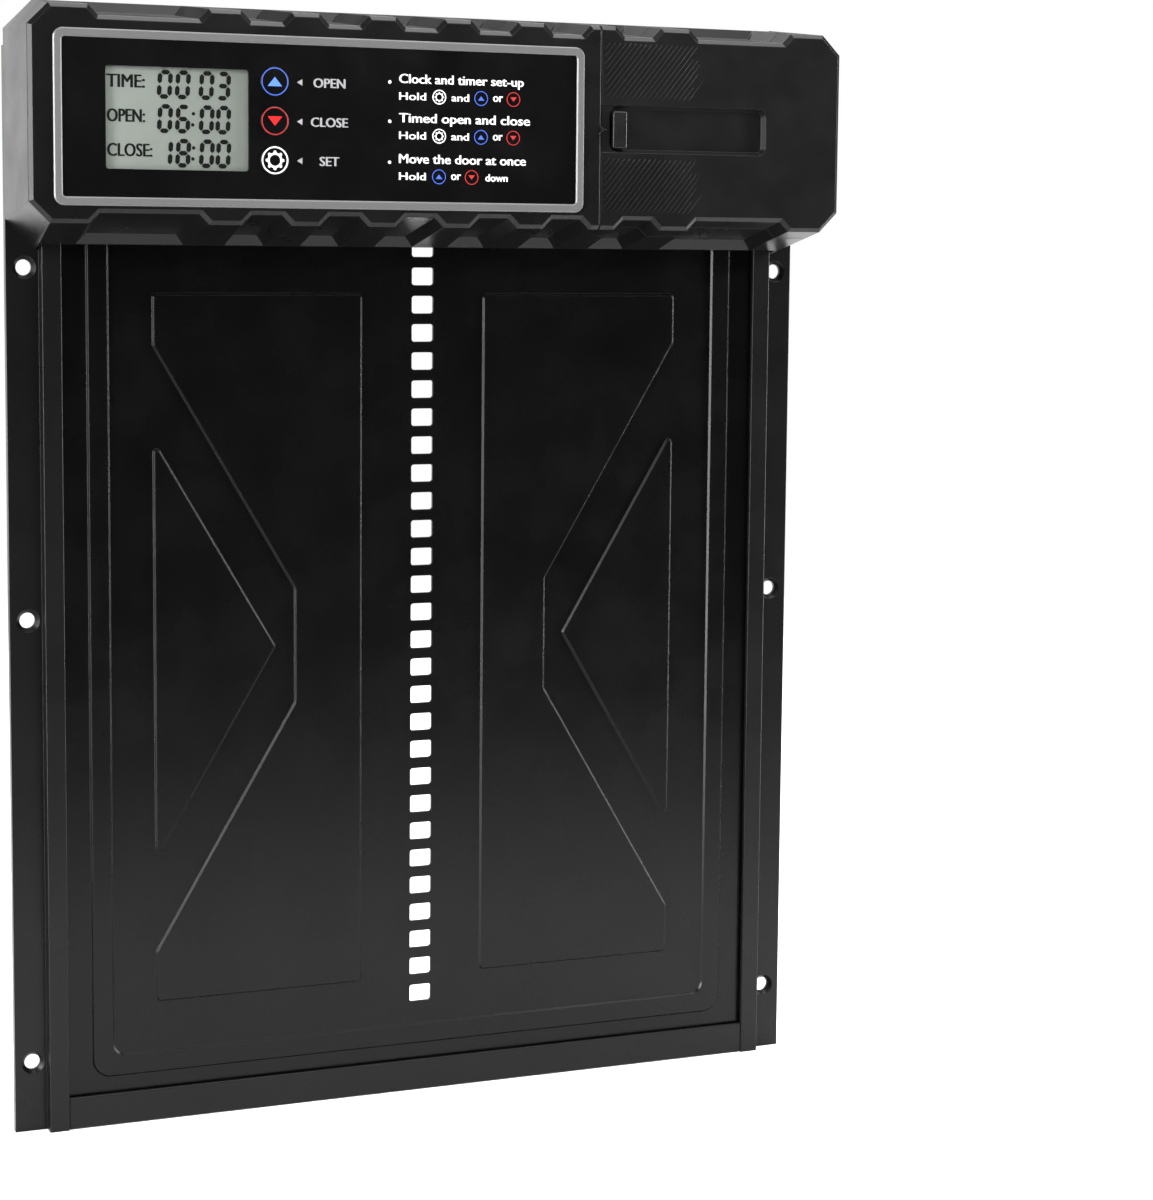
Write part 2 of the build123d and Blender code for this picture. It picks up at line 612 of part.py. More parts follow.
EARS = (-9.5, 15.0)                     # left faces of the bracket's two ears
EAR_FRONT = 36.0
SHEET = 1.5
BRACKET_X = (-18.0, 25.0)
BRACKET_Z = (166.5, 226.8)
GEAR_OPENING_X = (-8.0, 15.0)
AXLE_R = 2.0
BUSH_R = 3.0
BUSH_FLANGE_T = 0.8
RUNNING_FIT = 0.05
LAY_R = 1.5
MOTOR_R = 12.0
MOTOR_BOSS_R = 3.0
MOTOR_SHAFT_R = 1.0
MOTOR_SHAFT_END = 18.0
MOTOR_SCREW_OFFSET = 8.0
MOTOR_SCREW_R = 1.0
MOTOR_SCREW_TIP = 18.5

with BuildPart() as gearbox_bracket:
    base = COVER_FRONT_FACE
    gear_opening_z = (AXLE_Z - SPROCKET_ROOM, LAYSHAFT[1] + SPROCKET_ROOM)
    block(*BRACKET_X, base, base + SHEET, *BRACKET_Z)
    block(*GEAR_OPENING_X, base, base + SHEET, *gear_opening_z, Mode.SUBTRACT)
    for x in EARS:
        block(x, x + SHEET, base, EAR_FRONT, *BRACKET_Z)
        cross_rod(*AXLE, BUSH_R, x, x + SHEET, Mode.SUBTRACT)
        cross_rod(*LAYSHAFT, LAY_R, x, x + SHEET, Mode.SUBTRACT)
    cross_rod(*MOTOR, MOTOR_BOSS_R, EARS[1], EARS[1] + SHEET, Mode.SUBTRACT)
    for dz in (-MOTOR_SCREW_OFFSET, MOTOR_SCREW_OFFSET):
        cross_rod(MOTOR[0], MOTOR[1] + dz, MOTOR_SCREW_R, EARS[1], EARS[1] + SHEET, Mode.SUBTRACT)
    for x, z in BRACKET_SCREWS:
        rod(x, z, BRACKET_SCREW_R, base, base + SHEET, Mode.SUBTRACT)
save(gearbox_bracket.part, "gearbox_bracket")

with BuildPart() as bracket_screws:
    for x, z in BRACKET_SCREWS:
        screw(x, z, BRACKET_SCREW_R, COVER_FRONT_FACE + SHEET, REAR_COVER_BACK)
save(bracket_screws.part, "bracket_screws")

with BuildPart() as axle_bushes:
    for x, flange in ((EARS[0], EARS[0] - BUSH_FLANGE_T), (EARS[1], EARS[1] + SHEET)):
        cross_rod(*AXLE, BUSH_R, x, x + SHEET)
        cross_rod(*AXLE, BUSH_R + 1, flange, flange + BUSH_FLANGE_T)
    cross_rod(*AXLE, AXLE_R + RUNNING_FIT, EARS[0] - 2, EARS[1] + 5, Mode.SUBTRACT)
save(axle_bushes.part, "axle_bushes")

with BuildPart() as sprocket_axle:
    cross_rod(*AXLE, AXLE_R, EARS[0] - 1.6, EARS[1] + SHEET + 1.6)
    chamfer(sprocket_axle.edges().filter_by(GeomType.CIRCLE), 0.3)
save(sprocket_axle.part, "sprocket_axle")

SPROCKET_HALF_T = 1.25
SPROCKET_ROOT = 3.0                     # tooth root below the pitch circle, tooth tip above it
SPROCKET_TIP = 1.1
with BuildPart() as drive_sprocket:
    with BuildSketch(Plane.YZ.offset(-SPROCKET_HALF_T)) as wheel:
        with Locations((-AXLE_DEPTH, AXLE_Z)):
            Circle(SPROCKET_R - 2.4)
            with PolarLocations(0, SPROCKET_TEETH):
                Polygon(
                    (SPROCKET_R - SPROCKET_ROOT, -3.0),
                    (SPROCKET_R, -2.1),
                    (SPROCKET_R + SPROCKET_TIP, -1.0),
                    (SPROCKET_R + SPROCKET_TIP, 1.0),
                    (SPROCKET_R, 2.1),
                    (SPROCKET_R - SPROCKET_ROOT, 3.0),
                    align=None,
                )
            with PolarLocations(7.0, 4, start_angle=22.5):
                Circle(1.8, mode=Mode.SUBTRACT)
    extrude(wheel.sketch, amount=2 * SPROCKET_HALF_T)
    cross_rod(*AXLE, 4.5, -4.5, 3.0)
    cross_rod(*AXLE, AXLE_R, -5, 5, Mode.SUBTRACT)
save(drive_sprocket.part, "drive_sprocket")

OUTPUT_X = (3.0, 8.0, 14.0)             # gear face, gear face, end of the hub
OUTPUT_HUB_R = 2.7
with BuildPart() as output_gear:
    gear(AXLE, OUTPUT_TEETH, 0, *OUTPUT_X[:2])
    cross_rod(*AXLE, OUTPUT_HUB_R, *OUTPUT_X[1:])
    cross_rod(*AXLE, AXLE_R, OUTPUT_X[0], OUTPUT_X[2], Mode.SUBTRACT)
save(output_gear.part, "output_gear")

with BuildPart() as layshaft_pin:
    cross_rod(*LAYSHAFT, LAY_R, EARS[0] - 0.6, EARS[1] + SHEET + 0.6)
save(layshaft_pin.part, "layshaft_pin")

LAY_X = (-7.6, 2.6, 8.8, 13.0)          # end of the sleeve, pinion, large gear, its far face
LAY_SLEEVE_R = 2.5
with BuildPart() as compound_gear:
    cross_rod(*LAYSHAFT, LAY_SLEEVE_R, *LAY_X[:2])
    gear(LAYSHAFT, LAY_TEETH[1], LAY_PINION_TURN, *LAY_X[1:3])
    gear(LAYSHAFT, LAY_TEETH[0], 0, *LAY_X[2:])
    cross_rod(*LAYSHAFT, LAY_R + RUNNING_FIT, LAY_X[0], LAY_X[3], Mode.SUBTRACT)
save(compound_gear.part, "compound_gear")

with BuildPart() as motor_pinion:
    gear(MOTOR, PINION_TEETH, PINION_TURN, LAY_X[2] - 0.2, LAY_X[3] + 0.2)
    cross_rod(*MOTOR, MOTOR_SHAFT_R, LAY_X[2] - 0.8, MOTOR_SHAFT_END - 0.5)
save(motor_pinion.part, "motor_pinion")

MOTOR_X = (EARS[1] + SHEET, 50.0)
with BuildPart() as gearmotor:
    cross_rod(*MOTOR, MOTOR_R, *MOTOR_X)
    chamfer(gearmotor.edges().filter_by(GeomType.CIRCLE), 0.8)
    cross_rod(*MOTOR, MOTOR_BOSS_R, EARS[1], MOTOR_X[0])
    cross_rod(*MOTOR, 4.0, MOTOR_X[1], MOTOR_X[1] + 1.4)
    cross_rod(*MOTOR, MOTOR_SHAFT_R + RUNNING_FIT, EARS[1], MOTOR_SHAFT_END, Mode.SUBTRACT)
    for dz in (-MOTOR_SCREW_OFFSET, MOTOR_SCREW_OFFSET):
        cross_rod(MOTOR[0], MOTOR[1] + dz, MOTOR_SCREW_R, MOTOR_X[0], MOTOR_SCREW_TIP + 0.5, Mode.SUBTRACT)
save(gearmotor.part, "gearmotor")

with BuildPart() as motor_screws:
    for dz in (-MOTOR_SCREW_OFFSET, MOTOR_SCREW_OFFSET):
        cross_rod(MOTOR[0], MOTOR[1] + dz, MOTOR_SCREW_R, EARS[1], MOTOR_SCREW_TIP)
        cross_rod(MOTOR[0], MOTOR[1] + dz, 1.9 * MOTOR_SCREW_R, EARS[1] - 1.3, EARS[1])
save(motor_screws.part, "motor_screws")

# ---- display and controls --------------------------------------------------
with BuildPart() as display_bezel:
    plate(BEZEL, BEZEL_CORNER, HOUSING_FRONT - OVERLAY_T, HOUSING_FRONT + BEZEL_PROUD)
    inner = beyond(BEZEL, -BEZEL_W)
    plate(inner, BEZEL_IN_CORNER, HOUSING_FRONT - OVERLAY_T, HOUSING_FRONT + BEZEL_PROUD, Mode.SUBTRACT)
    rims = display_bezel.faces().sort_by(Axis.Y)[0].edges()
    chamfer(rims, BEZEL_BEVEL)
save(display_bezel.part, "display_bezel")

OVERLAY_FRONT = HOUSING_FRONT + 0.1
with BuildPart() as display_overlay:
    plate(beyond(BEZEL, -BEZEL_W - 0.03), BEZEL_IN_CORNER, HOUSING_FRONT - OVERLAY_T, OVERLAY_FRONT)
    plate(LCD, LCD_CORNER, HOUSING_FRONT - OVERLAY_T, OVERLAY_FRONT, Mode.SUBTRACT)
    for z in BUTTON_Z:
        rod(BUTTON_X, z, BUTTON_R + BUTTON_GAP, HOUSING_FRONT - OVERLAY_T, OVERLAY_FRONT, Mode.SUBTRACT)
save(display_overlay.part, "display_overlay")

with BuildPart() as lcd_window:
    plate(beyond(LCD, -0.05), LCD_CORNER, HOUSING_FRONT - 0.6, OVERLAY_FRONT - 0.15)
save(lcd_window.part, "lcd_window")

with BuildPart() as lcd_glass:
    plate(beyond(LCD, LCD_FRAME), 0.6, LCD_BACK, HOUSING_FRONT - OVERLAY_T - 0.1)
save(lcd_glass.part, "lcd_glass")

with BuildPart() as lcd_holder:
    plate(beyond(LCD, 3.0), 1.5, BOARD_FRONT, LCD_BACK)
    plate(beyond(LCD, -1.5), LCD_CORNER, BOARD_FRONT, LCD_BACK, Mode.SUBTRACT)
save(lcd_holder.part, "lcd_holder")

with BuildPart() as control_board:
    plate(BOARD, 1.0, BOARD_FRONT - BOARD_T, BOARD_FRONT)
    for x, z in BOARD_SCREWS:
        rod(x, z, BOARD_SCREW_R, BOARD_FRONT - BOARD_T, BOARD_FRONT, Mode.SUBTRACT)
save(control_board.part, "control_board")

BOARD_BACK = BOARD_FRONT - BOARD_T
with BuildPart() as board_components:
    block(-112.0, -98.0, BOARD_BACK - 1.6, BOARD_BACK, 190.0, 204.0)    # controller
    block(-90.0, -84.0, BOARD_BACK - 1.2, BOARD_BACK, 196.0, 199.0)     # motor driver
    for x in (-122.0, -80.0):                                           # capacitors
        rod(x, 182.0, 3.0, BOARD_BACK - 8.0, BOARD_BACK)
    for z in (185.0, 205.0):                                            # motor and battery sockets
        block(-66.0, -58.0, BOARD_BACK - 6.0, BOARD_BACK, z - 4, z + 4)
save(board_components.part, "board_components")

with BuildPart() as board_screws:
    for x, z in BOARD_SCREWS:
        screw(x, z, BOARD_SCREW_R, BOARD_BACK, FACE_BACK - 1.0)
save(board_screws.part, "board_screws")

SWITCH_BODY_T = 1.4
SWITCH_T = 1.95
with BuildPart() as tact_switches:
    for z in BUTTON_Z:
        block(BUTTON_X - 3, BUTTON_X + 3, BOARD_FRONT, BOARD_FRONT + SWITCH_BODY_T, z - 3, z + 3)
        rod(BUTTON_X, z, 1.7, BOARD_FRONT + SWITCH_BODY_T, BOARD_FRONT + SWITCH_T)
save(tact_switches.part, "tact_switches")

BUTTON_FRONT = HOUSING_FRONT + 0.35
BUTTON_BACK = HOUSING_FRONT - 0.9
STEM_END = 38.9
for name, z in zip(("open_button", "close_button", "set_button"), BUTTON_Z):
    with BuildPart() as button:
        rod(BUTTON_X, z, BUTTON_R, BUTTON_BACK, BUTTON_FRONT)
        fillet(button.edges().sort_by(Axis.Y)[0], 0.25)
        rod(BUTTON_X, z, STEM_R, STEM_END, BUTTON_BACK)
    save(button.part, name)

# ---- batteries -------------------------------------------------------------
TRAY_X = (74.5, 128.8)                  # inside of the tray
TRAY_WALL = 1.5
CELL_PITCH = 14.6
CELL_DEPTH = 24.2
CELL_Z = [MID_Z + CELL_PITCH * (i - 1.5) for i in range(4)]
TRAY_MID_X = (TRAY_X[0] + TRAY_X[1]) / 2
TRAY_HALF_Z = 2 * CELL_PITCH
TRAY_FLOOR = 16.6
TRAY_FRONT = 27.0
NUB = 1.0                               # length of the cells' positive nubs
NUB_R = 2.7
PLATE_T = 0.3

with BuildPart() as battery_tray:
    z0 = MID_Z - TRAY_HALF_Z - TRAY_WALL
    z1 = MID_Z + TRAY_HALF_Z + TRAY_WALL
    block(TRAY_X[0] - TRAY_WALL, TRAY_X[1] + TRAY_WALL, TRAY_FLOOR - TRAY_WALL, TRAY_FRONT, z0, z1)
    block(*TRAY_X, TRAY_FLOOR, TRAY_FRONT, z0 + TRAY_WALL, z1 - TRAY_WALL, Mode.SUBTRACT)
    for x in (TRAY_X[0] + 4, TRAY_X[1] - 4):
        for z in (z0 + 5, z1 - 5):
            rod(x, z, 3.0, COVER_FRONT_FACE, TRAY_FLOOR - TRAY_WALL)
save(battery_tray.part, "battery_tray")


def tray_x(side, from_wall):
    """Place in the tray, measured inwards from its left (-1) or right (1) wall."""
    return TRAY_MID_X + side * (TRAY_X[1] - TRAY_MID_X - from_wall)


with BuildPart() as aa_batteries:
    for i, z in enumerate(CELL_Z):
        side = 1 if i % 2 else -1           # the end that the positive nub points to
        ends = sorted((tray_x(side, PLATE_T + NUB), tray_x(side, PLATE_T + NUB + CELL_LENGTH)))
        nub = sorted((tray_x(side, PLATE_T), tray_x(side, PLATE_T + NUB)))
        cross_rod(CELL_DEPTH, z, CELL_R, *ends)
        cross_rod(CELL_DEPTH, z, NUB_R, *nub)
save(aa_batteries.part, "aa_batteries")

with BuildPart() as battery_contacts:
    for z in CELL_Z:
        for side in (-1, 1):
            x0, x1 = sorted((tray_x(side, 0), tray_x(side, PLATE_T)))
            block(x0, x1, CELL_DEPTH - 5, TRAY_FRONT - 0.2, z - 5, z + 5)
save(battery_contacts.part, "battery_contacts")

SPRING_WIRE_R = 0.35
SPRING_R = 3.2
with BuildPart() as battery_springs:
    for i, z in enumerate(CELL_Z):
        side = -1 if i % 2 else 1
        room = TRAY_X[1] - TRAY_X[0] - 2 * PLATE_T - NUB - CELL_LENGTH
        height = room - 2 * SPRING_WIRE_R - 0.1
        start = (tray_x(side, PLATE_T + SPRING_WIRE_R + 0.05), -CELL_DEPTH, z)
        with BuildLine() as coil:
            Helix(height / 2.5, height, SPRING_R, center=start, direction=(-side, 0, 0))
        with BuildSketch(Plane(origin=coil.line @ 0, z_dir=coil.line % 0)) as wire:
            Circle(SPRING_WIRE_R)
        sweep(wire.sketch, path=coil.line)
save(battery_springs.part, "battery_springs")

# ---- battery cover ---------------------------------------------------------
COVER_LEFT = SEAM_X + SEAM_GAP
COVER_RIM = 2.0
RECESS = (59.0, 123.4, 187.4, 204.7)    # finger recess: left, right, bottom, top
RECESS_CORNER = 3.4
RECESS_FLOOR = 40.1
RECESS_TAPER = 28.0                     # slope of the recess walls
STEP_SINK = 0.5                         # shallow step between the seam and the recess
BACKING = (57.5, 126.5, 185.2, 207.0)
BACKING_BACK = 37.3
LATCH_BAR = (60.5, 65.9, 189.0, 202.4)
LATCH_BAR_BACK = RECESS_FLOOR + 0.4
LATCH_BAR_FRONT = HOUSING_FRONT + 0.5
LATCH_TRAVEL = 3.0
STEM = (60.6, 62.8, 190.5, 200.1)       # web between the latch bar and its tongue
STEM_BACK = 36.6
TONGUE_DEPTH = (34.8, STEM_BACK)
TONGUE_X = (SEAM_X + 0.25, 70.0)
TONGUE_GAP = 0.3
STOP_X = (78.0, 79.6)                   # rib that the latch spring pushes against
STOP_Z = (192.0, 201.0)
INNER_LEDGE = 33.6                      # rear end of the stop rib and the hinge knuckles
LATCH_SPRING_X = (70.3, 77.7)
LATCH_SPRING_R = 1.2
LATCH_WIRE_R = 0.25
HINGE_OUT_R = 5.4
HINGE_IN_R = 3.4
KNUCKLE_Z = (-16.0, 16.0)
KNUCKLE_T = 6.0
KNUCKLE_X = 146.3
HINGE_PIN_Z = (-28.0, 12.0)             # lower ends of the two pins, from the housing's middle
HINGE_PIN = 16.0
HINGE_BORE = 60.0
FAR = 170.0                             # beyond the right end of the housing
HEIGHT_Z = (BACK_LOW, BACK_HIGH)


def behind_hinge(radius):
    """Sketch of the corner behind the hinge axis, outside a radius about it."""
    with BuildSketch(Plane.XY.offset(BACK_LOW)) as corner:
        with Locations((HINGE_X, -HINGE_DEPTH)):
            Rectangle(30, 30, align=(Align.MIN, Align.MIN))
            Circle(radius, mode=Mode.SUBTRACT)
    return corner.sketch


def hinge_rod(low, length, mode=Mode.ADD):
    """Round rod on the hinge axis, from a height above the housing's middle."""
    with BuildSketch(Plane.XY.offset(MID_Z + low)) as section:
        with Locations((HINGE_X, -HINGE_DEPTH)):
            Circle(PIN_R)
    extrude(section.sketch, amount=length, mode=mode)


with BuildPart() as cover_hollow:
    add(housing_cavity.part)
    inside_x = (COVER_LEFT + COVER_RIM, HINGE_X + HINGE_IN_R)
    block(*inside_x, COVER_BACK - 1, FACE_BACK, *HEIGHT_Z, Mode.INTERSECT)
    extrude(behind_hinge(HINGE_IN_R), amount=BACK_HIGH - BACK_LOW, mode=Mode.SUBTRACT)

with BuildPart() as battery_cover:
    add(housing_form.part)
    block(COVER_LEFT, FAR, COVER_BACK, HOUSING_FRONT, *HEIGHT_Z, Mode.INTERSECT)
    extrude(behind_hinge(HINGE_OUT_R), amount=BACK_HIGH - BACK_LOW, mode=Mode.SUBTRACT)
    add(cover_hollow.part, mode=Mode.SUBTRACT)
    plate(BACKING, 1.5, BACKING_BACK, FACE_BACK)
    with BuildSketch(facing(HOUSING_FRONT)) as recess:
        with Locations(((RECESS[0] + RECESS[1]) / 2, (RECESS[2] + RECESS[3]) / 2)):
            RectangleRounded(RECESS[1] - RECESS[0], RECESS[3] - RECESS[2], RECESS_CORNER)
    extrude(recess.sketch, amount=RECESS_FLOOR - HOUSING_FRONT, taper=RECESS_TAPER, mode=Mode.SUBTRACT)
    step_x = (COVER_LEFT, RECESS[0] + RECESS_CORNER)
    block(*step_x, HOUSING_FRONT - STEP_SINK, HOUSING_FRONT, *RECESS[2:], Mode.SUBTRACT)
    slot = beyond(STEM, TONGUE_GAP)
    slot_x = (slot[0], slot[1] + LATCH_TRAVEL + 0.1)
    block(*slot_x, BACKING_BACK, RECESS_FLOOR, *slot[2:], Mode.SUBTRACT)
    block(COVER_LEFT, COVER_LEFT + COVER_RIM + 1, 34.2, 37.2, *KEEPER_Z, Mode.SUBTRACT)
    block(*STOP_X, INNER_LEDGE, BACKING_BACK, *STOP_Z)
    for z in KNUCKLE_Z:
        knuckle_z = (MID_Z + z - KNUCKLE_T / 2, MID_Z + z + KNUCKLE_T / 2)
        block(KNUCKLE_X, HINGE_X + HINGE_IN_R, INNER_LEDGE, FACE_BACK, *knuckle_z)
    for z in HINGE_Z:
        gap_z = (MID_Z + z - LUG_T / 2 - 1, MID_Z + z + LUG_T / 2 + 1)
        block(KNUCKLE_X, FAR, 25, FACE_BACK, *gap_z, Mode.SUBTRACT)
    hinge_rod(-HINGE_BORE / 2, HINGE_BORE, Mode.SUBTRACT)
save(battery_cover.part, "battery_cover")

with BuildPart() as cover_hinge_pins:
    for low in HINGE_PIN_Z:
        hinge_rod(low, HINGE_PIN)
save(cover_hinge_pins.part, "cover_hinge_pins")

with BuildPart() as cover_latch:
    plate(LATCH_BAR, 0.6, LATCH_BAR_BACK, LATCH_BAR_FRONT)
    fillet(cover_latch.faces().sort_by(Axis.Y)[0].edges(), 0.4)
    block(*STEM[:2], STEM_BACK, LATCH_BAR_BACK, *STEM[2:])
    block(*TONGUE_X, *TONGUE_DEPTH, KEEPER_Z[0] + TONGUE_GAP, KEEPER_Z[1] - TONGUE_GAP)
save(cover_latch.part, "cover_latch")

with BuildPart() as latch_spring:
    length = LATCH_SPRING_X[1] - LATCH_SPRING_X[0]
    start = (LATCH_SPRING_X[0], -sum(TONGUE_DEPTH) / 2, sum(KEEPER_Z) / 2)
    with BuildLine() as coil:
        Helix(length / 5, length, LATCH_SPRING_R, center=start, direction=(1, 0, 0))
    with BuildSketch(Plane(origin=coil.line @ 0, z_dir=coil.line % 0)) as wire:
        Circle(LATCH_WIRE_R)
    sweep(wire.sketch, path=coil.line)
save(latch_spring.part, "latch_spring")
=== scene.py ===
import math

import bmesh
import bpy
from mathutils import Matrix, Vector


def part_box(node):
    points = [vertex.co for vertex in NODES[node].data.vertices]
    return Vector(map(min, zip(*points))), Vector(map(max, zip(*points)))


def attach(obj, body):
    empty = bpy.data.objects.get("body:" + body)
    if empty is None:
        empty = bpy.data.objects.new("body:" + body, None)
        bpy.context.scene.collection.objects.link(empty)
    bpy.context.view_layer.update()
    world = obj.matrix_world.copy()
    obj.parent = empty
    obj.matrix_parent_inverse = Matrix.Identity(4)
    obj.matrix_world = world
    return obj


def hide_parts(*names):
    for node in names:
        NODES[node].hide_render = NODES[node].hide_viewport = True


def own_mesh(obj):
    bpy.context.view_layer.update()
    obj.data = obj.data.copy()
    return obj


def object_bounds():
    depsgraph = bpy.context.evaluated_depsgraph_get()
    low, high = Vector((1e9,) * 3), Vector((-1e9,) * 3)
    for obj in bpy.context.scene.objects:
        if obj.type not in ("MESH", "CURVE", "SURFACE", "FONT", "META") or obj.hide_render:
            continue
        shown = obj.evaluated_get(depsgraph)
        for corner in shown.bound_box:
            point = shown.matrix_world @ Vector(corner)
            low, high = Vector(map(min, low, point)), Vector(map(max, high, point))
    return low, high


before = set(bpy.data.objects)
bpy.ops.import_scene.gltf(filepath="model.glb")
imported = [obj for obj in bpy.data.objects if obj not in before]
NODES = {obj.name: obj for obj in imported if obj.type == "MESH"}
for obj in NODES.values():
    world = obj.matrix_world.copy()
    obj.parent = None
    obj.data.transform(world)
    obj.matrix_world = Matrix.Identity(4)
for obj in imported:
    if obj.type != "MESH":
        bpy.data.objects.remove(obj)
CAD_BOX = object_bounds()
MM = 0.001

# ---- places taken from the frame -------------------------------------------
GROUND_Z = CAD_BOX[0].z
PRINT_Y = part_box("display_overlay")[0].y    # front of the overlay, where the print lies
GLASS_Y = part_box("lcd_glass")[0].y          # front of the LCD glass
LCD_LOW, LCD_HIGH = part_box("lcd_window")
COVER_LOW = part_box("battery_cover")[0]


# ---- mesh helpers ----------------------------------------------------------
def mesh_object(name, bm, material, body):
    """Turns a bmesh into a piece with a material that rides on a body."""
    data = bpy.data.meshes.new(name)
    bm.normal_update()
    bm.to_mesh(data)
    bm.free()
    piece = bpy.data.objects.new(name, data)
    bpy.context.scene.collection.objects.link(piece)
    data.materials.append(material)
    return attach(piece, body)


def add_prism(bm, outline, y_front, y_back):
    """Adds a closed prism over an outline of (x, z) points, counted round once."""
    area = sum(a[0] * b[1] - b[0] * a[1] for a, b in zip(outline, outline[1:] + outline[:1]))
    points = outline if area > 0 else outline[::-1]
    front = [bm.verts.new((x, y_front, z)) for x, z in points]
    back = [bm.verts.new((x, y_back, z)) for x, z in points]
    bm.faces.new(front)
    bm.faces.new(back[::-1])
    for i in range(len(points)):
        j = (i + 1) % len(points)
        bm.faces.new((front[j], front[i], back[i], back[j]))


def add_ring(bm, centre, inner, outer, y_front, y_back, steps=64, profile=None):
    """Adds a closed flat ring; profile(angle) may scale the outer radius."""
    loops = []
    for i in range(steps):
        angle = 2 * math.pi * i / steps
        far = outer * (profile(angle) if profile else 1)
        across, upward = math.cos(angle), math.sin(angle)
        corners = []
        for r, y in ((inner, y_front), (far, y_front), (far, y_back), (inner, y_back)):
            corners.append(bm.verts.new((centre[0] + r * across, y, centre[1] + r * upward)))
        loops.append(corners)
    for i in range(steps):
        a, b = loops[i], loops[(i + 1) % steps]
        for k in range(4):
            m = (k + 1) % 4
            bm.faces.new((a[k], a[m], b[m], b[k]))


def circle(centre, radius, steps=40):
    """Outline of a round dot."""
    turns = [2 * math.pi * i / steps for i in range(steps)]
    return [(centre[0] + radius * math.cos(t), centre[1] + radius * math.sin(t)) for t in turns]


def triangle(centre, size, angle):
    """An equilateral triangle whose tip points along an angle in degrees."""
    turns = [math.radians(angle + 120 * i) for i in range(3)]
    return [(centre[0] + size * math.cos(t), centre[1] + size * math.sin(t)) for t in turns]


def text_mesh(text):
    """The flat mesh of a line of text, with a front and a back."""
    curve = bpy.data.curves.new("lettering", "FONT")
    curve.body = text
    curve.size = 1.0
    curve.extrude = 0.5
    curve.resolution_u = 3
    holder = bpy.data.objects.new("lettering", curve)
    bpy.context.scene.collection.objects.link(holder)
    bpy.context.view_layer.update()
    data = bpy.data.meshes.new_from_object(holder.evaluated_get(bpy.context.evaluated_depsgraph_get()))
    bpy.data.objects.remove(holder)
    return data


def add_text(bm, text, left, z_middle, height, y_front, y_back, width=None, centred=False, weight=0.0):
    """Adds thin lettering that faces the front. Width fits it; weight thickens its strokes sideways."""
    data = text_mesh(text)
    points = [v.co.copy() for v in data.vertices]
    x_low = min(p.x for p in points)
    x_high = max(p.x for p in points)
    cap = max(p.y for p in points)
    scale_y = height / cap
    scale_x = width / (x_high - x_low) if width else scale_y
    start = left - (x_low + x_high) / 2 * scale_x if centred else left - x_low * scale_x
    shifts = (-weight, 0.0, weight) if weight else (0.0,)
    layer_step = (y_back - y_front) / 8     # each copy's front lies a little behind the last
    for i, shift in enumerate(shifts):
        layer = y_front + i * layer_step
        for v, p in zip(data.vertices, points):
            y = layer if p.z > 0 else y_back
            v.co = Vector((start + shift + p.x * scale_x, y, z_middle + (p.y - cap / 2) * scale_y))
        bm.from_mesh(data)
    bpy.data.meshes.remove(data)


# ---- materials -------------------------------------------------------------
def new_material(name, colour, roughness, metallic=0.0, specular=0.5):
    """A Principled material with its even values set on the shader."""
    material = bpy.data.materials.new(name)
    material.use_nodes = True
    shader = material.node_tree.nodes["Principled BSDF"]
    shader.inputs["Base Color"].default_value = (*colour, 1)
    shader.inputs["Roughness"].default_value = roughness
    shader.inputs["Metallic"].default_value = metallic
    shader.inputs["Specular IOR Level"].default_value = specular
    return material, shader


def noise(tree, scale, detail=4.0, stretch=(1, 1, 1)):
    """Object-space noise, so the pattern stays with the piece."""
    coords = tree.nodes.new("ShaderNodeTexCoord")
    mapping = tree.nodes.new("ShaderNodeMapping")
    mapping.inputs["Scale"].default_value = stretch
    texture = tree.nodes.new("ShaderNodeTexNoise")
    texture.inputs["Scale"].default_value = scale
    texture.inputs["Detail"].default_value = detail
    texture.inputs["Roughness"].default_value = 0.55
    tree.links.new(coords.outputs["Object"], mapping.inputs["Vector"])
    tree.links.new(mapping.outputs["Vector"], texture.inputs["Vector"])
    return texture.outputs["Fac"]


def ramp(tree, value, low, high, colours):
    """Maps a value between two levels to two colours."""
    node = tree.nodes.new("ShaderNodeValToRGB")
    for element, position, colour in zip(node.color_ramp.elements, (low, high), colours):
        element.position = position
        element.color = (*colour, 1)
    tree.links.new(value, node.inputs["Fac"])
    return node.outputs["Color"]


NOISE_RANGE = (0.3, 0.7)                    # levels between which noise mostly lies


def vary_colour(material, shader, scale, dark, light, stretch=(1, 1, 1)):
    """Lets the colour drift between two shades."""
    tree = material.node_tree
    clouds = noise(tree, scale, stretch=stretch)
    tree.links.new(ramp(tree, clouds, *NOISE_RANGE, (dark, light)), shader.inputs["Base Color"])


def vary_roughness(material, shader, scale, low, high, stretch=(1, 1, 1)):
    """Lets the roughness drift between two values."""
    tree = material.node_tree
    spread = tree.nodes.new("ShaderNodeMapRange")
    spread.inputs["From Min"].default_value = NOISE_RANGE[0]
    spread.inputs["From Max"].default_value = NOISE_RANGE[1]
    spread.inputs["To Min"].default_value = low
    spread.inputs["To Max"].default_value = high
    tree.links.new(noise(tree, scale, stretch=stretch), spread.inputs["Value"])
    tree.links.new(spread.outputs["Result"], shader.inputs["Roughness"])


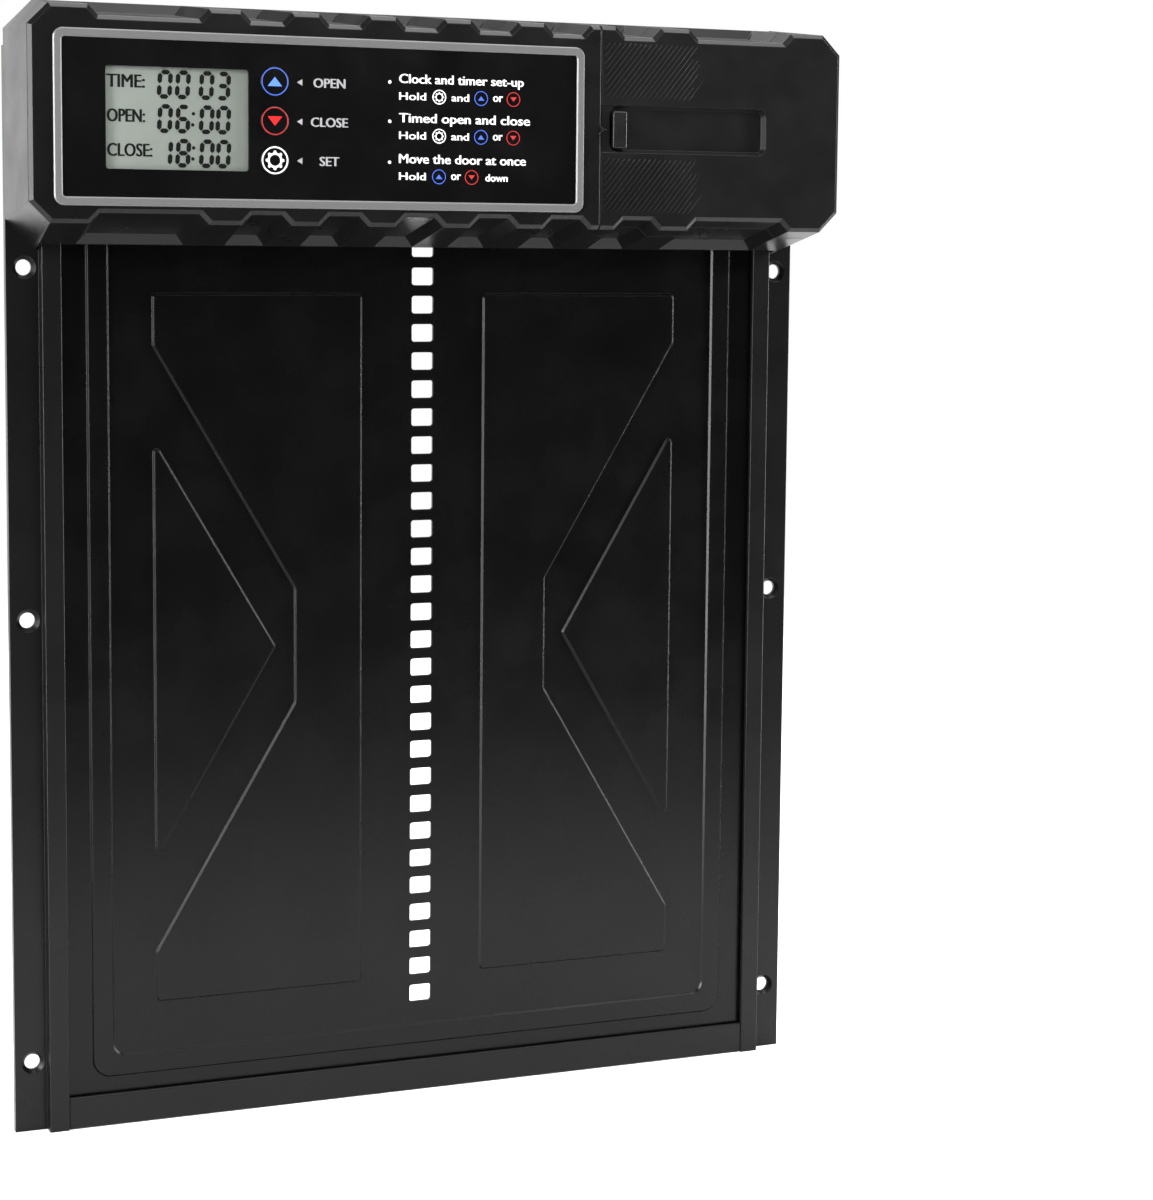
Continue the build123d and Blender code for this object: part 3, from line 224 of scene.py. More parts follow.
def grain(material, shader, scale, strength, distance, stretch=(1, 1, 1), detail=2.0, edge=0.0):
    """Fine surface grain as bump, with a real height in metres, over edges rounded by a small radius."""
    tree = material.node_tree
    bump = tree.nodes.new("ShaderNodeBump")
    if edge:
        soft = tree.nodes.new("ShaderNodeBevel")
        soft.samples = 10
        soft.inputs["Radius"].default_value = edge
        tree.links.new(soft.outputs["Normal"], bump.inputs["Normal"])
    bump.inputs["Strength"].default_value = strength
    bump.inputs["Distance"].default_value = distance
    tree.links.new(noise(tree, scale, detail=detail, stretch=stretch), bump.inputs["Height"])
    tree.links.new(bump.outputs["Normal"], shader.inputs["Normal"])


def coated_metal(name, dark, light, roughness, grain_height, edge, specular=0.5):
    """Powder-coated or painted sheet: slight cloudiness and a fine orange peel."""
    material, shader = new_material(name, light, roughness, specular=specular)
    vary_colour(material, shader, 14.0, dark, light)
    vary_roughness(material, shader, 40.0, roughness - 0.03, roughness + 0.05)
    grain(material, shader, 1500.0, 0.35, grain_height, edge=edge)
    return material


def moulded_plastic(
    name, dark, light, roughness, grain_scale, grain_height, specular=0.45, edge=0.0, uneven=0.04
):
    """Moulded plastic with a spark-eroded texture."""
    material, shader = new_material(name, light, roughness, specular=specular)
    vary_colour(material, shader, 22.0, dark, light)
    vary_roughness(material, shader, 60.0, roughness - uneven, roughness + uneven)
    grain(material, shader, grain_scale, 0.4, grain_height, edge=edge)
    return material


def bare_metal(name, dark, light, roughness, stretch=(1, 1, 1)):
    """Plated or drawn metal; the stretch draws its marks out along one direction."""
    material, shader = new_material(name, light, roughness, metallic=1.0)
    vary_colour(material, shader, 60.0, dark, light, stretch)
    vary_roughness(material, shader, 200.0, roughness - 0.06, roughness + 0.08, stretch)
    grain(material, shader, 900.0, 0.3, 4e-6, stretch)
    return material


def printed_ink(name, colour, glow=0.0, specular=0.3):
    """Screen-printed ink: almost even colour, slightly rough; glow adds a faint painted glow in the ink's
    own colour.
    """
    material, shader = new_material(name, colour, 0.45, specular=specular)
    darker = tuple(0.86 * c for c in colour)
    vary_colour(material, shader, 900.0, darker, colour)
    grain(material, shader, 3000.0, 0.2, 2e-6)
    # painted glow: a weak emission in the ink's own colour, though the ink is no lamp
    if glow:
        shader.inputs["Emission Color"].default_value = (*colour, 1)
        shader.inputs["Emission Strength"].default_value = glow
    return material


def lcd_background():
    """Reflective LCD: greenish grey, with painted shade that darkens it towards the right, and a faint
    diffuser grain.
    """
    material, shader = new_material("lcd_background", (0.44, 0.49, 0.43), 0.38, specular=0.3)
    tree = material.node_tree
    coords = tree.nodes.new("ShaderNodeTexCoord")
    axes = tree.nodes.new("ShaderNodeSeparateXYZ")
    across = tree.nodes.new("ShaderNodeMapRange")
    across.inputs["From Min"].default_value = LCD_LOW.x
    across.inputs["From Max"].default_value = LCD_HIGH.x
    tree.links.new(coords.outputs["Object"], axes.inputs["Vector"])
    tree.links.new(axes.outputs["X"], across.inputs["Value"])
    # painted shade: the base colour darkens from the window's left to its right, standing in for the light
    # falling off across the LCD
    painted_shade = ramp(tree, across.outputs["Result"], 0.1, 1.0, ((0.195, 0.216, 0.195), (0.158, 0.178, 0.158)))
    tree.links.new(painted_shade, shader.inputs["Base Color"])
    grain(material, shader, 2500.0, 0.15, 2e-6)
    return material


def clear_window():
    """Thin clear window: almost nothing but its gloss shows."""
    material, shader = new_material("clear_window", (0.03, 0.03, 0.03), 0.06, specular=0.4)
    shader.inputs["Alpha"].default_value = 0.06
    vary_roughness(material, shader, 80.0, 0.05, 0.08)
    return material


def circuit_board():
    """Solder mask with lighter copper runs showing through."""
    material, shader = new_material("circuit_board", (0.02, 0.14, 0.05), 0.35)
    tree = material.node_tree
    coords = tree.nodes.new("ShaderNodeTexCoord")
    bricks = tree.nodes.new("ShaderNodeTexBrick")
    bricks.inputs["Scale"].default_value = 160.0
    bricks.inputs["Color1"].default_value = (0.02, 0.16, 0.06, 1)
    bricks.inputs["Color2"].default_value = (0.03, 0.20, 0.08, 1)
    bricks.inputs["Mortar"].default_value = (0.01, 0.09, 0.03, 1)
    tree.links.new(coords.outputs["Object"], bricks.inputs["Vector"])
    tree.links.new(bricks.outputs["Color"], shader.inputs["Base Color"])
    grain(material, shader, 800.0, 0.2, 1e-5)
    return material


RAIL = coated_metal(
    "rail_coating", (0.0038, 0.0038, 0.0041), (0.0052, 0.0052, 0.0055), 0.28, 4e-6, 0.35 * MM, specular=0.18
)
PANEL = coated_metal(
    "panel_paint", (0.0010, 0.0010, 0.0011), (0.0014, 0.0014, 0.0015), 0.26, 2e-6, 0.35 * MM, specular=0.2
)
SHELL = moulded_plastic(
    "housing_plastic", (0.0024, 0.0024, 0.0026), (0.0034, 0.0034, 0.0036), 0.30, 1400.0, 6e-6, 0.24,
    0.4 * MM,
)
COVER = moulded_plastic(
    "cover_plastic", (0.0034, 0.0034, 0.0036), (0.0044, 0.0044, 0.0046), 0.32, 1400.0, 7e-6, 0.19, 0.35 * MM
)
LATCH = moulded_plastic(
    "latch_plastic", (0.005, 0.005, 0.0055), (0.008, 0.008, 0.0085), 0.26, 1200.0, 4e-6, 0.4, 0.3 * MM
)
BEZEL = moulded_plastic(
    "bezel_paint", (0.098, 0.098, 0.098), (0.104, 0.104, 0.104), 0.26, 1800.0, 2e-6, 0.5, 0.12 * MM, 0.01
)
FILM_BLACKS = ((0.0015, 0.0015, 0.0017), (0.0025, 0.0025, 0.0027))
OVERLAY = moulded_plastic("overlay_film", *FILM_BLACKS, 0.20, 2500.0, 1e-6, 0.3)
BUTTON = moulded_plastic("button_film", *FILM_BLACKS, 0.22, 2500.0, 1e-6, 0.3)
NYLON = moulded_plastic("gear_nylon", (0.62, 0.61, 0.57), (0.72, 0.71, 0.67), 0.38, 600.0, 1e-5)
TRAY = moulded_plastic("tray_plastic", (0.014, 0.014, 0.015), (0.022, 0.022, 0.023), 0.5, 900.0, 1.4e-5)
CHIP = moulded_plastic("component_plastic", (0.02, 0.02, 0.02), (0.04, 0.04, 0.04), 0.45, 900.0, 1e-5)
FOAM = moulded_plastic("seal_foam", (0.012, 0.012, 0.012), (0.03, 0.03, 0.03), 0.85, 700.0, 2e-4, 0.2)
ZINC = bare_metal("zinc_plate", (0.50, 0.50, 0.48), (0.68, 0.68, 0.66), 0.32)
STEEL = bare_metal("drawn_steel", (0.42, 0.42, 0.42), (0.58, 0.58, 0.58), 0.28, (6, 1, 1))
MOTOR_CAN = bare_metal("motor_can", (0.45, 0.45, 0.44), (0.62, 0.62, 0.61), 0.26, (1, 8, 8))
BRASS = bare_metal("brass", (0.62, 0.45, 0.16), (0.78, 0.60, 0.26), 0.28)
BRONZE = bare_metal("sintered_bronze", (0.30, 0.18, 0.08), (0.46, 0.30, 0.15), 0.5)
CELL = moulded_plastic("cell_jacket", (0.012, 0.012, 0.014), (0.02, 0.02, 0.022), 0.28, 500.0, 4e-6)
CELL_BAND = bare_metal("cell_band", (0.55, 0.33, 0.12), (0.72, 0.46, 0.20), 0.3)
WHITE_INK = printed_ink("white_ink", (0.80, 0.80, 0.80))
GREY_INK = printed_ink("grey_ink", (0.28, 0.28, 0.29))
BLUE_INK = printed_ink("blue_ink", (0.05, 0.12, 0.55))
# the blue and red fills carry a faint painted glow (emission 0.1)
BLUE_FILL = printed_ink("blue_fill", (0.08, 0.20, 0.85), 0.1)
RED_INK = printed_ink("red_ink", (0.42, 0.02, 0.02))
RED_FILL = printed_ink("red_fill", (0.80, 0.01, 0.01), 0.1)
SEGMENT = printed_ink("lcd_segment", (0.003, 0.0034, 0.0032), specular=0.08)

FINISHES = {
    RAIL: ("left_rail", "right_rail", "bottom_sill", "sill_rivets"),
    PANEL: ("door_panel",),
    SHELL: ("front_shell", "rear_cover"),
    COVER: ("battery_cover",),
    LATCH: ("cover_latch",),
    BEZEL: ("display_bezel",),
    OVERLAY: ("display_overlay",),
    BUTTON: ("open_button", "close_button", "set_button"),
    clear_window(): ("lcd_window",),
    lcd_background(): ("lcd_glass",),
    circuit_board(): ("control_board",),
    NYLON: ("lcd_holder", "drive_sprocket", "output_gear", "compound_gear"),
    CHIP: ("board_components", "tact_switches"),
    TRAY: ("battery_tray",),
    FOAM: ("housing_seal",),
    ZINC: (
        "shell_screws", "rail_screws", "bracket_screws", "board_screws", "motor_screws", "gearbox_bracket",
    ),
    STEEL: (
        "sprocket_axle", "layshaft_pin", "cover_hinge_pins", "latch_spring", "battery_springs",
        "battery_contacts",
    ),
    MOTOR_CAN: ("gearmotor",),
    BRASS: ("motor_pinion",),
    BRONZE: ("axle_bushes",),
    CELL: ("aa_batteries",),
}
for material, names in FINISHES.items():
    for name in names:
        slots = NODES[name].data.materials
        slots.clear()
        slots.append(material)

# ---- print on the overlay --------------------------------------------------
INK = 0.06 * MM                             # thickness of printed ink
BUTTON_BOXES = {name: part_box(name + "_button") for name in ("open", "close", "set")}
BUTTON_X = (BUTTON_BOXES["open"][0].x + BUTTON_BOXES["open"][1].x) / 2
BUTTON_Z = {name: (low.z + high.z) / 2 for name, (low, high) in BUTTON_BOXES.items()}
ARROW_X = BUTTON_X + 9.4 * MM
ARROW_R = 1.3 * MM
LABEL_X = BUTTON_X + 20.0 * MM
CAP_H = 3.2 * MM                            # height of labels and headings
LEGEND_X = BUTTON_X + 46.0 * MM
BULLET_X = LEGEND_X - 3.6 * MM
BULLET_DROP = 1.4 * MM
BULLET_R = 0.6 * MM
LINE_STEP = 6.2 * MM                        # heading to icon line
WORD_H = 2.6 * MM
SMALL_WORD_H = 2.0 * MM
ICON_R = 2.6 * MM
FIRST_ICON = 15.1 * MM                      # start of an icon line to its first icon
AFTER_ICON = 4.7 * MM                       # icon to the word after it
GEAR_TO_ARROW = 16.0 * MM
ARROW_TO_ARROW = 12.5 * MM
LAST_WORD = 5.4 * MM
LABEL_WEIGHT = 0.16 * MM
HEADING_WEIGHT = 0.13 * MM
WORD_WEIGHT = 0.10 * MM


def gear_profile(angle):
    """Outer radius factor of a gear icon with eight square teeth."""
    return 1.0 if math.cos(8 * angle) > 0.1 else 0.80


def add_gear_icon(bm, centre, radius, y_front, y_back):
    """A small toothed ring."""
    add_ring(bm, centre, 0.36 * radius, 0.62 * radius, y_front, y_back, 96, gear_profile)


def wedge(centre, width, height, up):
    """A triangle that points up (1) or down (-1)."""
    base = centre[1] - up * height / 2
    return [(centre[0] - width / 2, base), (centre[0] + width / 2, base), (centre[0], base + up * height)]


def add_arrow_icon(bm, centre, up, y_front, y_back):
    """A thin ring round a triangle that points up (1) or down (-1)."""
    add_ring(bm, centre, 0.90 * ICON_R, ICON_R, y_front, y_back)
    add_prism(bm, wedge(centre, 0.95 * ICON_R, 0.6 * ICON_R, up), y_front, y_back)


def add_word(bm, text, left, z, width, height=WORD_H):
    """A word of an icon line."""
    add_text(bm, text, left, z, height, PRINT_Y - INK, PRINT_Y, width=width, weight=WORD_WEIGHT)


white = bmesh.new()
grey = bmesh.new()
blue = bmesh.new()
red = bmesh.new()
front, back = PRINT_Y - INK, PRINT_Y
for name, label in (("open", "OPEN"), ("close", "CLOSE"), ("set", "SET")):
    z = BUTTON_Z[name]
    add_text(grey, label, LABEL_X, z, CAP_H, front, back, centred=True, weight=LABEL_WEIGHT)
    add_prism(grey, triangle((ARROW_X, z), ARROW_R, 180), front, back)

LEGEND = (                                  # button row, heading, its width and its height over the row
    ("open", "Clock and timer set-up", 47.5, 2.6),
    ("close", "Timed open and close", 50.0, 2.4),
    ("set", "Move the door at once", 48.5, 1.6),
)
for name, heading, width, rise in LEGEND:
    top = BUTTON_Z[name] + rise * MM
    line = top - LINE_STEP
    add_text(white, heading, LEGEND_X, top, CAP_H, front, back, width=width * MM, weight=HEADING_WEIGHT)
    add_prism(white, circle((BULLET_X, top - BULLET_DROP), BULLET_R, 16), front, back)
    add_word(white, "Hold", LEGEND_X, line, 10.0 * MM)
    x = LEGEND_X + FIRST_ICON
    if name != "set":
        add_ring(white, (x, line), 0.86 * ICON_R, ICON_R, front, back)
        add_gear_icon(white, (x, line), 1.1 * ICON_R, front, back)
        add_word(white, "and", x + AFTER_ICON, line, 6.6 * MM)
        x += GEAR_TO_ARROW
    add_arrow_icon(blue, (x, line), 1, front, back)
    add_word(white, "or", x + AFTER_ICON, line, 3.6 * MM, SMALL_WORD_H)
    x += ARROW_TO_ARROW
    add_arrow_icon(red, (x, line), -1, front, back)
    if name == "set":
        add_word(white, "down", x + LAST_WORD, line, 8.5 * MM)
mesh_object("legend_print", white, WHITE_INK, "frame")
mesh_object("label_print", grey, GREY_INK, "frame")
mesh_object("open_icons_print", blue, BLUE_INK, "frame")
mesh_object("close_icons_print", red, RED_INK, "frame")

# ---- icons on the buttons --------------------------------------------------
BUTTON_R = (BUTTON_BOXES["open"][1].x - BUTTON_BOXES["open"][0].x) / 2
WEDGE_W = 5.2 * MM
WEDGE_H = 3.2 * MM
BUTTON_INKS = {
    "open": (BLUE_INK, BLUE_FILL),
    "close": (RED_INK, RED_FILL),
    "set": (WHITE_INK, WHITE_INK),
}
for name, (ring_ink, fill_ink) in BUTTON_INKS.items():
    centre = (BUTTON_X, BUTTON_Z[name])
    face = BUTTON_BOXES[name][0].y
    ring = bmesh.new()
    inner = 0.84 if name == "set" else 0.88
    add_ring(ring, centre, inner * BUTTON_R, 0.94 * BUTTON_R, face - INK, face)
    mesh_object(name + "_button_ring", ring, ring_ink, name + "_button")
    icon = bmesh.new()
    if name == "set":
        add_gear_icon(icon, centre, 1.06 * BUTTON_R, face - INK, face)
    else:
        up = 1 if name == "open" else -1
        add_prism(icon, wedge(centre, WEDGE_W, WEDGE_H, up), face - INK, face)
    mesh_object(name + "_button_icon", icon, fill_ink, name + "_button")

# ---- LCD segments ----------------------------------------------------------
SEGMENTS = {"0": "abcdef", "1": "bc", "3": "abcdg", "6": "acdefg", "8": "abcdefg"}
DIGIT_W = 5.3 * MM
DIGIT_H = 9.9 * MM
STROKE = 1.6 * MM
SEGMENT_GAP = 0.22 * MM
SLANT = 0.07                                # sideways lean per height


def add_segment(bm, start, end, y_front, y_back):
    """One bar of a seven-segment digit, with pointed ends."""
    a, b = Vector(start), Vector(end)
    along = (b - a).normalized()
    side = Vector((-along.y, along.x)) * STROKE / 2
    a += along * SEGMENT_GAP
    b -= along * SEGMENT_GAP
    tip = along * STROKE / 2
    points = [a, a + tip + side, b - tip + side, b, b - tip - side, a + tip - side]
    add_prism(bm, [(p.x, p.y) for p in points], y_front, y_back)


def add_digit(bm, digit, x, z, y_front, y_back):
    """A leaning seven-segment digit about its middle."""
    half_w, half_h = (DIGIT_W - STROKE) / 2, (DIGIT_H - STROKE) / 2
    corner = {}
    for row, dz in (("t", half_h), ("m", 0), ("b", -half_h)):
        for col, dx in (("l", -half_w), ("r", half_w)):
            corner[row + col] = (x + dx + SLANT * dz, z + dz)
    bars = {
        "a": ("tl", "tr"), "b": ("tr", "mr"), "c": ("mr", "br"), "d": ("bl", "br"),
        "e": ("ml", "bl"), "f": ("tl", "ml"), "g": ("ml", "mr"),
    }
    for name in SEGMENTS[digit]:
        add_segment(bm, corner[bars[name][0]], corner[bars[name][1]], y_front, y_back)


segments = bmesh.new()
front, back = GLASS_Y - INK, GLASS_Y
LCD_W = LCD_HIGH.x - LCD_LOW.x
LCD_H = LCD_HIGH.z - LCD_LOW.z
DIGIT_SHARES = (0.415, 0.541, 0.708, 0.825)  # of the window's width
COLON_SHARE = 0.612
ROW_SHARES = (0.835, 0.50, 0.165)           # of the window's height
DIGIT_X = [LCD_LOW.x + share * LCD_W for share in DIGIT_SHARES]
COLON_X = LCD_LOW.x + COLON_SHARE * LCD_W
ROW_Z = [LCD_LOW.z + share * LCD_H for share in ROW_SHARES]
COLON_R = 0.6 * MM
COLON_HALF = 1.9 * MM
ROW_LABEL_H = 4.4 * MM
ROW_LABEL_INSET = 0.8 * MM                  # from the window's left edge, and above the row's middle
ROW_LABEL_WEIGHT = 0.20 * MM
ROWS = (                                    # digits, label, the label's width in mm, colon shown
    ("0003", "TIME:", 13.0, False),
    ("0600", "OPEN:", 13.0, True),
    ("1800", "CLOSE:", 15.5, True),
)
for z, (digits, label, width, colon) in zip(ROW_Z, ROWS):
    for x, digit in zip(DIGIT_X, digits):
        add_digit(segments, digit, x, z, front, back)
    if colon:
        for dz in (-COLON_HALF, COLON_HALF):
            add_prism(segments, circle((COLON_X + SLANT * dz, z + dz), COLON_R, 20), front, back)
    left, middle = LCD_LOW.x + ROW_LABEL_INSET, z + ROW_LABEL_INSET
    add_text(
        segments, label, left, middle, ROW_LABEL_H, front, back, width=width * MM, weight=ROW_LABEL_WEIGHT
    )
mesh_object("lcd_segments", segments, SEGMENT, "frame")

# ---- hatched ridges on the battery cover -----------------------------------
RIDGE_STEP = 2.1 * MM                       # from ridge to ridge along X
RIDGE_RISE = math.tan(math.radians(51))     # ridges climb to the right
RIDGE_W = 0.55 * MM
RIDGE_H = 0.26 * MM
SUNK = 0.05 * MM                            # foot of raised detail inside the cover
COVER_FACE_Y = COVER_LOW.y
FACE_Z = [v.co.z for v in NODES["battery_cover"].data.vertices if v.co.y < COVER_FACE_Y + SUNK]
EDGE_MARGIN = 4.4 * MM                      # clear of the grooves in the face's edges
FIELD_LEFT = COVER_LOW.x + 1.0 * MM
FIELD_RIGHT = COVER_LOW.x + 42.0 * MM
FIELD_LOW = min(FACE_Z) + EDGE_MARGIN
FIELD_HIGH = max(FACE_Z) - EDGE_MARGIN
SHORTEST_RUN = 1.2 * MM                     # a ridge with less run along X is left out
RECESS_BELOW = 3.6 * MM                     # smooth band of the latch recess, below and above the latch
RECESS_ABOVE = 4.2 * MM
THIRD_SHORTER = 3.0 * MM                    # right ends are ragged: two ridges in three stop short,
SECOND_SHORTER = 2.0 * MM                   # and so does every second one


def ridge_height(x):
    """Ridges are highest beside the seam and sink away towards the right."""
    share = (x - FIELD_LEFT) / (FIELD_RIGHT - FIELD_LEFT)
    return RIDGE_H * max(0.0, 1 - share * share)


def add_ridge(bm, start, end):
    """A low ridge with a triangular section that sinks to nothing at its far end."""
    a, b = Vector(start), Vector(end)
    along = (b - a).normalized()
    side = Vector((-along.y, along.x)) * RIDGE_W / 2
    rings = []
    for share in (0.0, 0.1, 0.4, 0.7, 0.9, 1.0):
        p = a + (b - a) * share
        rise = ridge_height(p.x) if 0 < share < 1 else 0.0
        rings.append([
            bm.verts.new((p.x + side.x, COVER_FACE_Y + SUNK, p.y + side.y)),
            bm.verts.new((p.x, COVER_FACE_Y - rise, p.y)),
            bm.verts.new((p.x - side.x, COVER_FACE_Y + SUNK, p.y - side.y)),
        ])
    for first, second in zip(rings, rings[1:]):
        for k in range(3):
            m = (k + 1) % 3
            bm.faces.new((first[k], first[m], second[m], second[k]))
    bm.faces.new(rings[0][::-1])
    bm.faces.new(rings[-1])


def clip_diagonal(foot, left, right, low, high):
    """The stretch inside a box of the climbing line that meets the box's bottom at x = foot, or None."""
    x0 = max(left, foot)
    x1 = min(right, foot + (high - low) / RIDGE_RISE)
    if x1 - x0 < SHORTEST_RUN:
        return None
    return (x0, low + (x0 - foot) * RIDGE_RISE), (x1, low + (x1 - foot) * RIDGE_RISE)


LATCH_LOW, LATCH_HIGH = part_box("cover_latch")
hatch = bmesh.new()
for low, high in ((FIELD_LOW, LATCH_LOW.z - RECESS_BELOW), (LATCH_HIGH.z + RECESS_ABOVE, FIELD_HIGH)):
    run = (high - low) / RIDGE_RISE
    for i in range(int((FIELD_RIGHT - FIELD_LEFT + run) / RIDGE_STEP) + 1):
        right_end = FIELD_RIGHT - (THIRD_SHORTER if i % 3 else 0.0) - (SECOND_SHORTER if i % 2 else 0.0)
        line = clip_diagonal(FIELD_LEFT - run + i * RIDGE_STEP, FIELD_LEFT, right_end, low, high)
        if line:
            add_ridge(hatch, *line)
bmesh.ops.recalc_face_normals(hatch, faces=hatch.faces)
mesh_object("cover_hatch", hatch, COVER, "battery_cover")

# small moulded arrow beside the latch, pointing the way that it slides
mark = bmesh.new()
MARK_R = 1.3 * MM
MARK_H = 0.25 * MM
MARK_SHIFT = 0.4 * MM                       # right of halfway between the seam and the latch
MARK = ((COVER_LOW.x + LATCH_LOW.x) / 2 + MARK_SHIFT, (LATCH_LOW.z + LATCH_HIGH.z) / 2)
add_prism(mark, triangle(MARK, MARK_R, 0), COVER_FACE_Y - MARK_H, COVER_FACE_Y + SUNK)
mesh_object("latch_arrow", mark, LATCH, "battery_cover")

# ---- bands round the cells -------------------------------------------------
CELLS = 4
CELL_LOW, CELL_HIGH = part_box("aa_batteries")
CELL_R = (CELL_HIGH.y - CELL_LOW.y) / 2
CELL_Y = (CELL_HIGH.y + CELL_LOW.y) / 2
CELL_STEP = (CELL_HIGH.z - CELL_LOW.z - 2 * CELL_R) / (CELLS - 1)
BAND_L = 13.0 * MM
BAND_T = 0.04 * MM
BAND_INSET = 1.6 * MM                       # from the cell's positive end


def add_band(bm, x0, x1, z, radius, steps=64):
    """A thin open sleeve round a cell, with its edges turned in to the cell."""
    turns = [2 * math.pi * i / steps for i in range(steps)]
    rings = []
    for x, r in ((x0, radius - BAND_T), (x0, radius), (x1, radius), (x1, radius - BAND_T)):
        rings.append([bm.verts.new((x, CELL_Y + r * math.cos(t), z + r * math.sin(t))) for t in turns])
    for near, far in zip(rings, rings[1:] + rings[:1]):
        for i in range(steps):
            j = (i + 1) % steps
            bm.faces.new((near[i], near[j], far[j], far[i]))


bands = bmesh.new()
for i in range(CELLS):
    z = CELL_LOW.z + CELL_R + i * CELL_STEP
    positive = CELL_LOW.x + BAND_INSET if i % 2 == 0 else CELL_HIGH.x - BAND_INSET - BAND_L
    add_band(bands, positive, positive + BAND_L, z, CELL_R + BAND_T)
bmesh.ops.recalc_face_normals(bands, faces=bands.faces)
mesh_object("cell_bands", bands, CELL_BAND, "frame")

# ---- latch spring, which the sliding latch shortens; here it is drawn at one length ---
SPRING_LOW, SPRING_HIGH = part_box("latch_spring")
SPRING_TURNS = 5
WIRE_R = 0.25 * MM
COIL_R = (SPRING_HIGH.z - SPRING_LOW.z) / 2 - WIRE_R
TURN_STEPS = 28
WIRE_SIDES = 10


def coil_point(turn):
    """Point on the wire's centre line after a number of turns from the latch's end."""
    angle = 2 * math.pi * turn
    x = SPRING_LOW.x + WIRE_R + turn / SPRING_TURNS * (SPRING_HIGH.x - SPRING_LOW.x - 2 * WIRE_R)
    y = (SPRING_LOW.y + SPRING_HIGH.y) / 2 + COIL_R * math.cos(angle)
    z = (SPRING_LOW.z + SPRING_HIGH.z) / 2 + COIL_R * math.sin(angle)
    return Vector((x, y, z))


def add_coil(bm):
    """Wire swept along the coil, with closed ends."""
    rings = []
    for i in range(SPRING_TURNS * TURN_STEPS + 1):
        turn = i / TURN_STEPS
        centre = coil_point(turn)
        along = (coil_point(turn + 0.001) - centre).normalized()
        out = Vector((0, math.cos(2 * math.pi * turn), math.sin(2 * math.pi * turn)))
        side = along.cross(out)
        ring = []
        for k in range(WIRE_SIDES):
            angle = 2 * math.pi * k / WIRE_SIDES
            ring.append(bm.verts.new(centre + WIRE_R * (math.cos(angle) * out + math.sin(angle) * side)))
        rings.append(ring)
    for near, far in zip(rings, rings[1:]):
        for k in range(WIRE_SIDES):
            m = (k + 1) % WIRE_SIDES
            bm.faces.new((near[k], near[m], far[m], far[k]))
    bm.faces.new(rings[0][::-1])
    bm.faces.new(rings[-1])


coil = bmesh.new()
add_coil(coil)
bmesh.ops.recalc_face_normals(coil, faces=coil.faces)
spring = mesh_object("latch_coil", coil, STEEL, "battery_cover")
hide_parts("latch_spring")
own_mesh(spring)

# ---- floor, light and camera -----------------------------------------------
FLOOR_R = 1.35
FLOOR_WHITE = (0.90, 0.90, 0.90)
FLOOR_MIDDLE = (0.1, 0.45)                  # it reaches further behind the object than in front
FLOOR_FADE = (0.6, 1.3)                     # the floor fades into the white surroundings
floor_mesh = bmesh.new()
bmesh.ops.create_circle(floor_mesh, cap_ends=True, segments=96, radius=FLOOR_R)
floor_data = bpy.data.meshes.new("floor")
floor_mesh.to_mesh(floor_data)
floor_mesh.free()
floor = bpy.data.objects.new("floor", floor_data)
floor.location = (*FLOOR_MIDDLE, GROUND_Z)
bpy.context.scene.collection.objects.link(floor)
floor_material, floor_shader = new_material("floor", FLOOR_WHITE, 0.9, specular=0.1)
floor_data.materials.append(floor_material)
tree = floor_material.node_tree
coords = tree.nodes.new("ShaderNodeTexCoord")
reach = tree.nodes.new("ShaderNodeVectorMath")
reach.operation = "LENGTH"
fade = tree.nodes.new("ShaderNodeMapRange")
fade.interpolation_type = "SMOOTHSTEP"
fade.inputs["From Min"].default_value = FLOOR_FADE[0]
fade.inputs["From Max"].default_value = FLOOR_FADE[1]
fade.inputs["To Min"].default_value = 1.0
fade.inputs["To Max"].default_value = 0.0
tree.links.new(coords.outputs["Object"], reach.inputs[0])
tree.links.new(reach.outputs["Value"], fade.inputs["Value"])
tree.links.new(fade.outputs["Result"], floor_shader.inputs["Alpha"])


def softbox(name, place, target, size, radiance):
    """A rectangular soft light with an even radiance, that the camera doesn't see."""
    light = bpy.data.lights.new(name, "AREA")
    light.shape = "RECTANGLE"
    light.size, light.size_y = size
    light.energy = radiance * math.pi * size[0] * size[1]
    lamp = bpy.data.objects.new(name, light)
    lamp.location = place
    lamp.rotation_mode = "QUATERNION"
    lamp.rotation_quaternion = (Vector(target) - Vector(place)).to_track_quat("-Z", "Y")
    lamp.visible_camera = False
    bpy.context.scene.collection.objects.link(lamp)


softbox("side_glow", (-0.5, 1.3, 0.3), (-0.15, 0, 0.2), (0.9, 0.9), 1.6)
softbox("left_strip", (-1.45, -0.50, 0.25), (0, 0, 0.05), (0.3, 1.4), 40.0)
softbox("right_strip", (1.45, -0.35, 0.25), (0, 0, 0.05), (0.3, 1.4), 38.0)
softbox("back_card", (0.9, 2.0, 0.35), (0, 0, 0.2), (1.6, 0.7), 0.7)
softbox("top_box", (0.25, 0.05, 1.4), (0, 0, 0), (1.6, 1.2), 5.0)
softbox("top_front", (0.1, -1.2, 1.35), (0, -0.3, -0.2), (1.4, 0.6), 6.5)
softbox("front_key", (-1.0, -0.8, 0.75), (0, 0, 0.1), (0.8, 0.8), 5.0)
softbox("front_bar", (0.65, -1.2, 0.72), (0, 0, 0.1), (1.0, 0.08), 20.0)
softbox("floor_wash", (0.3, 1.3, 1.9), (0.3, 1.2, 0), (2.2, 1.6), 4.0)

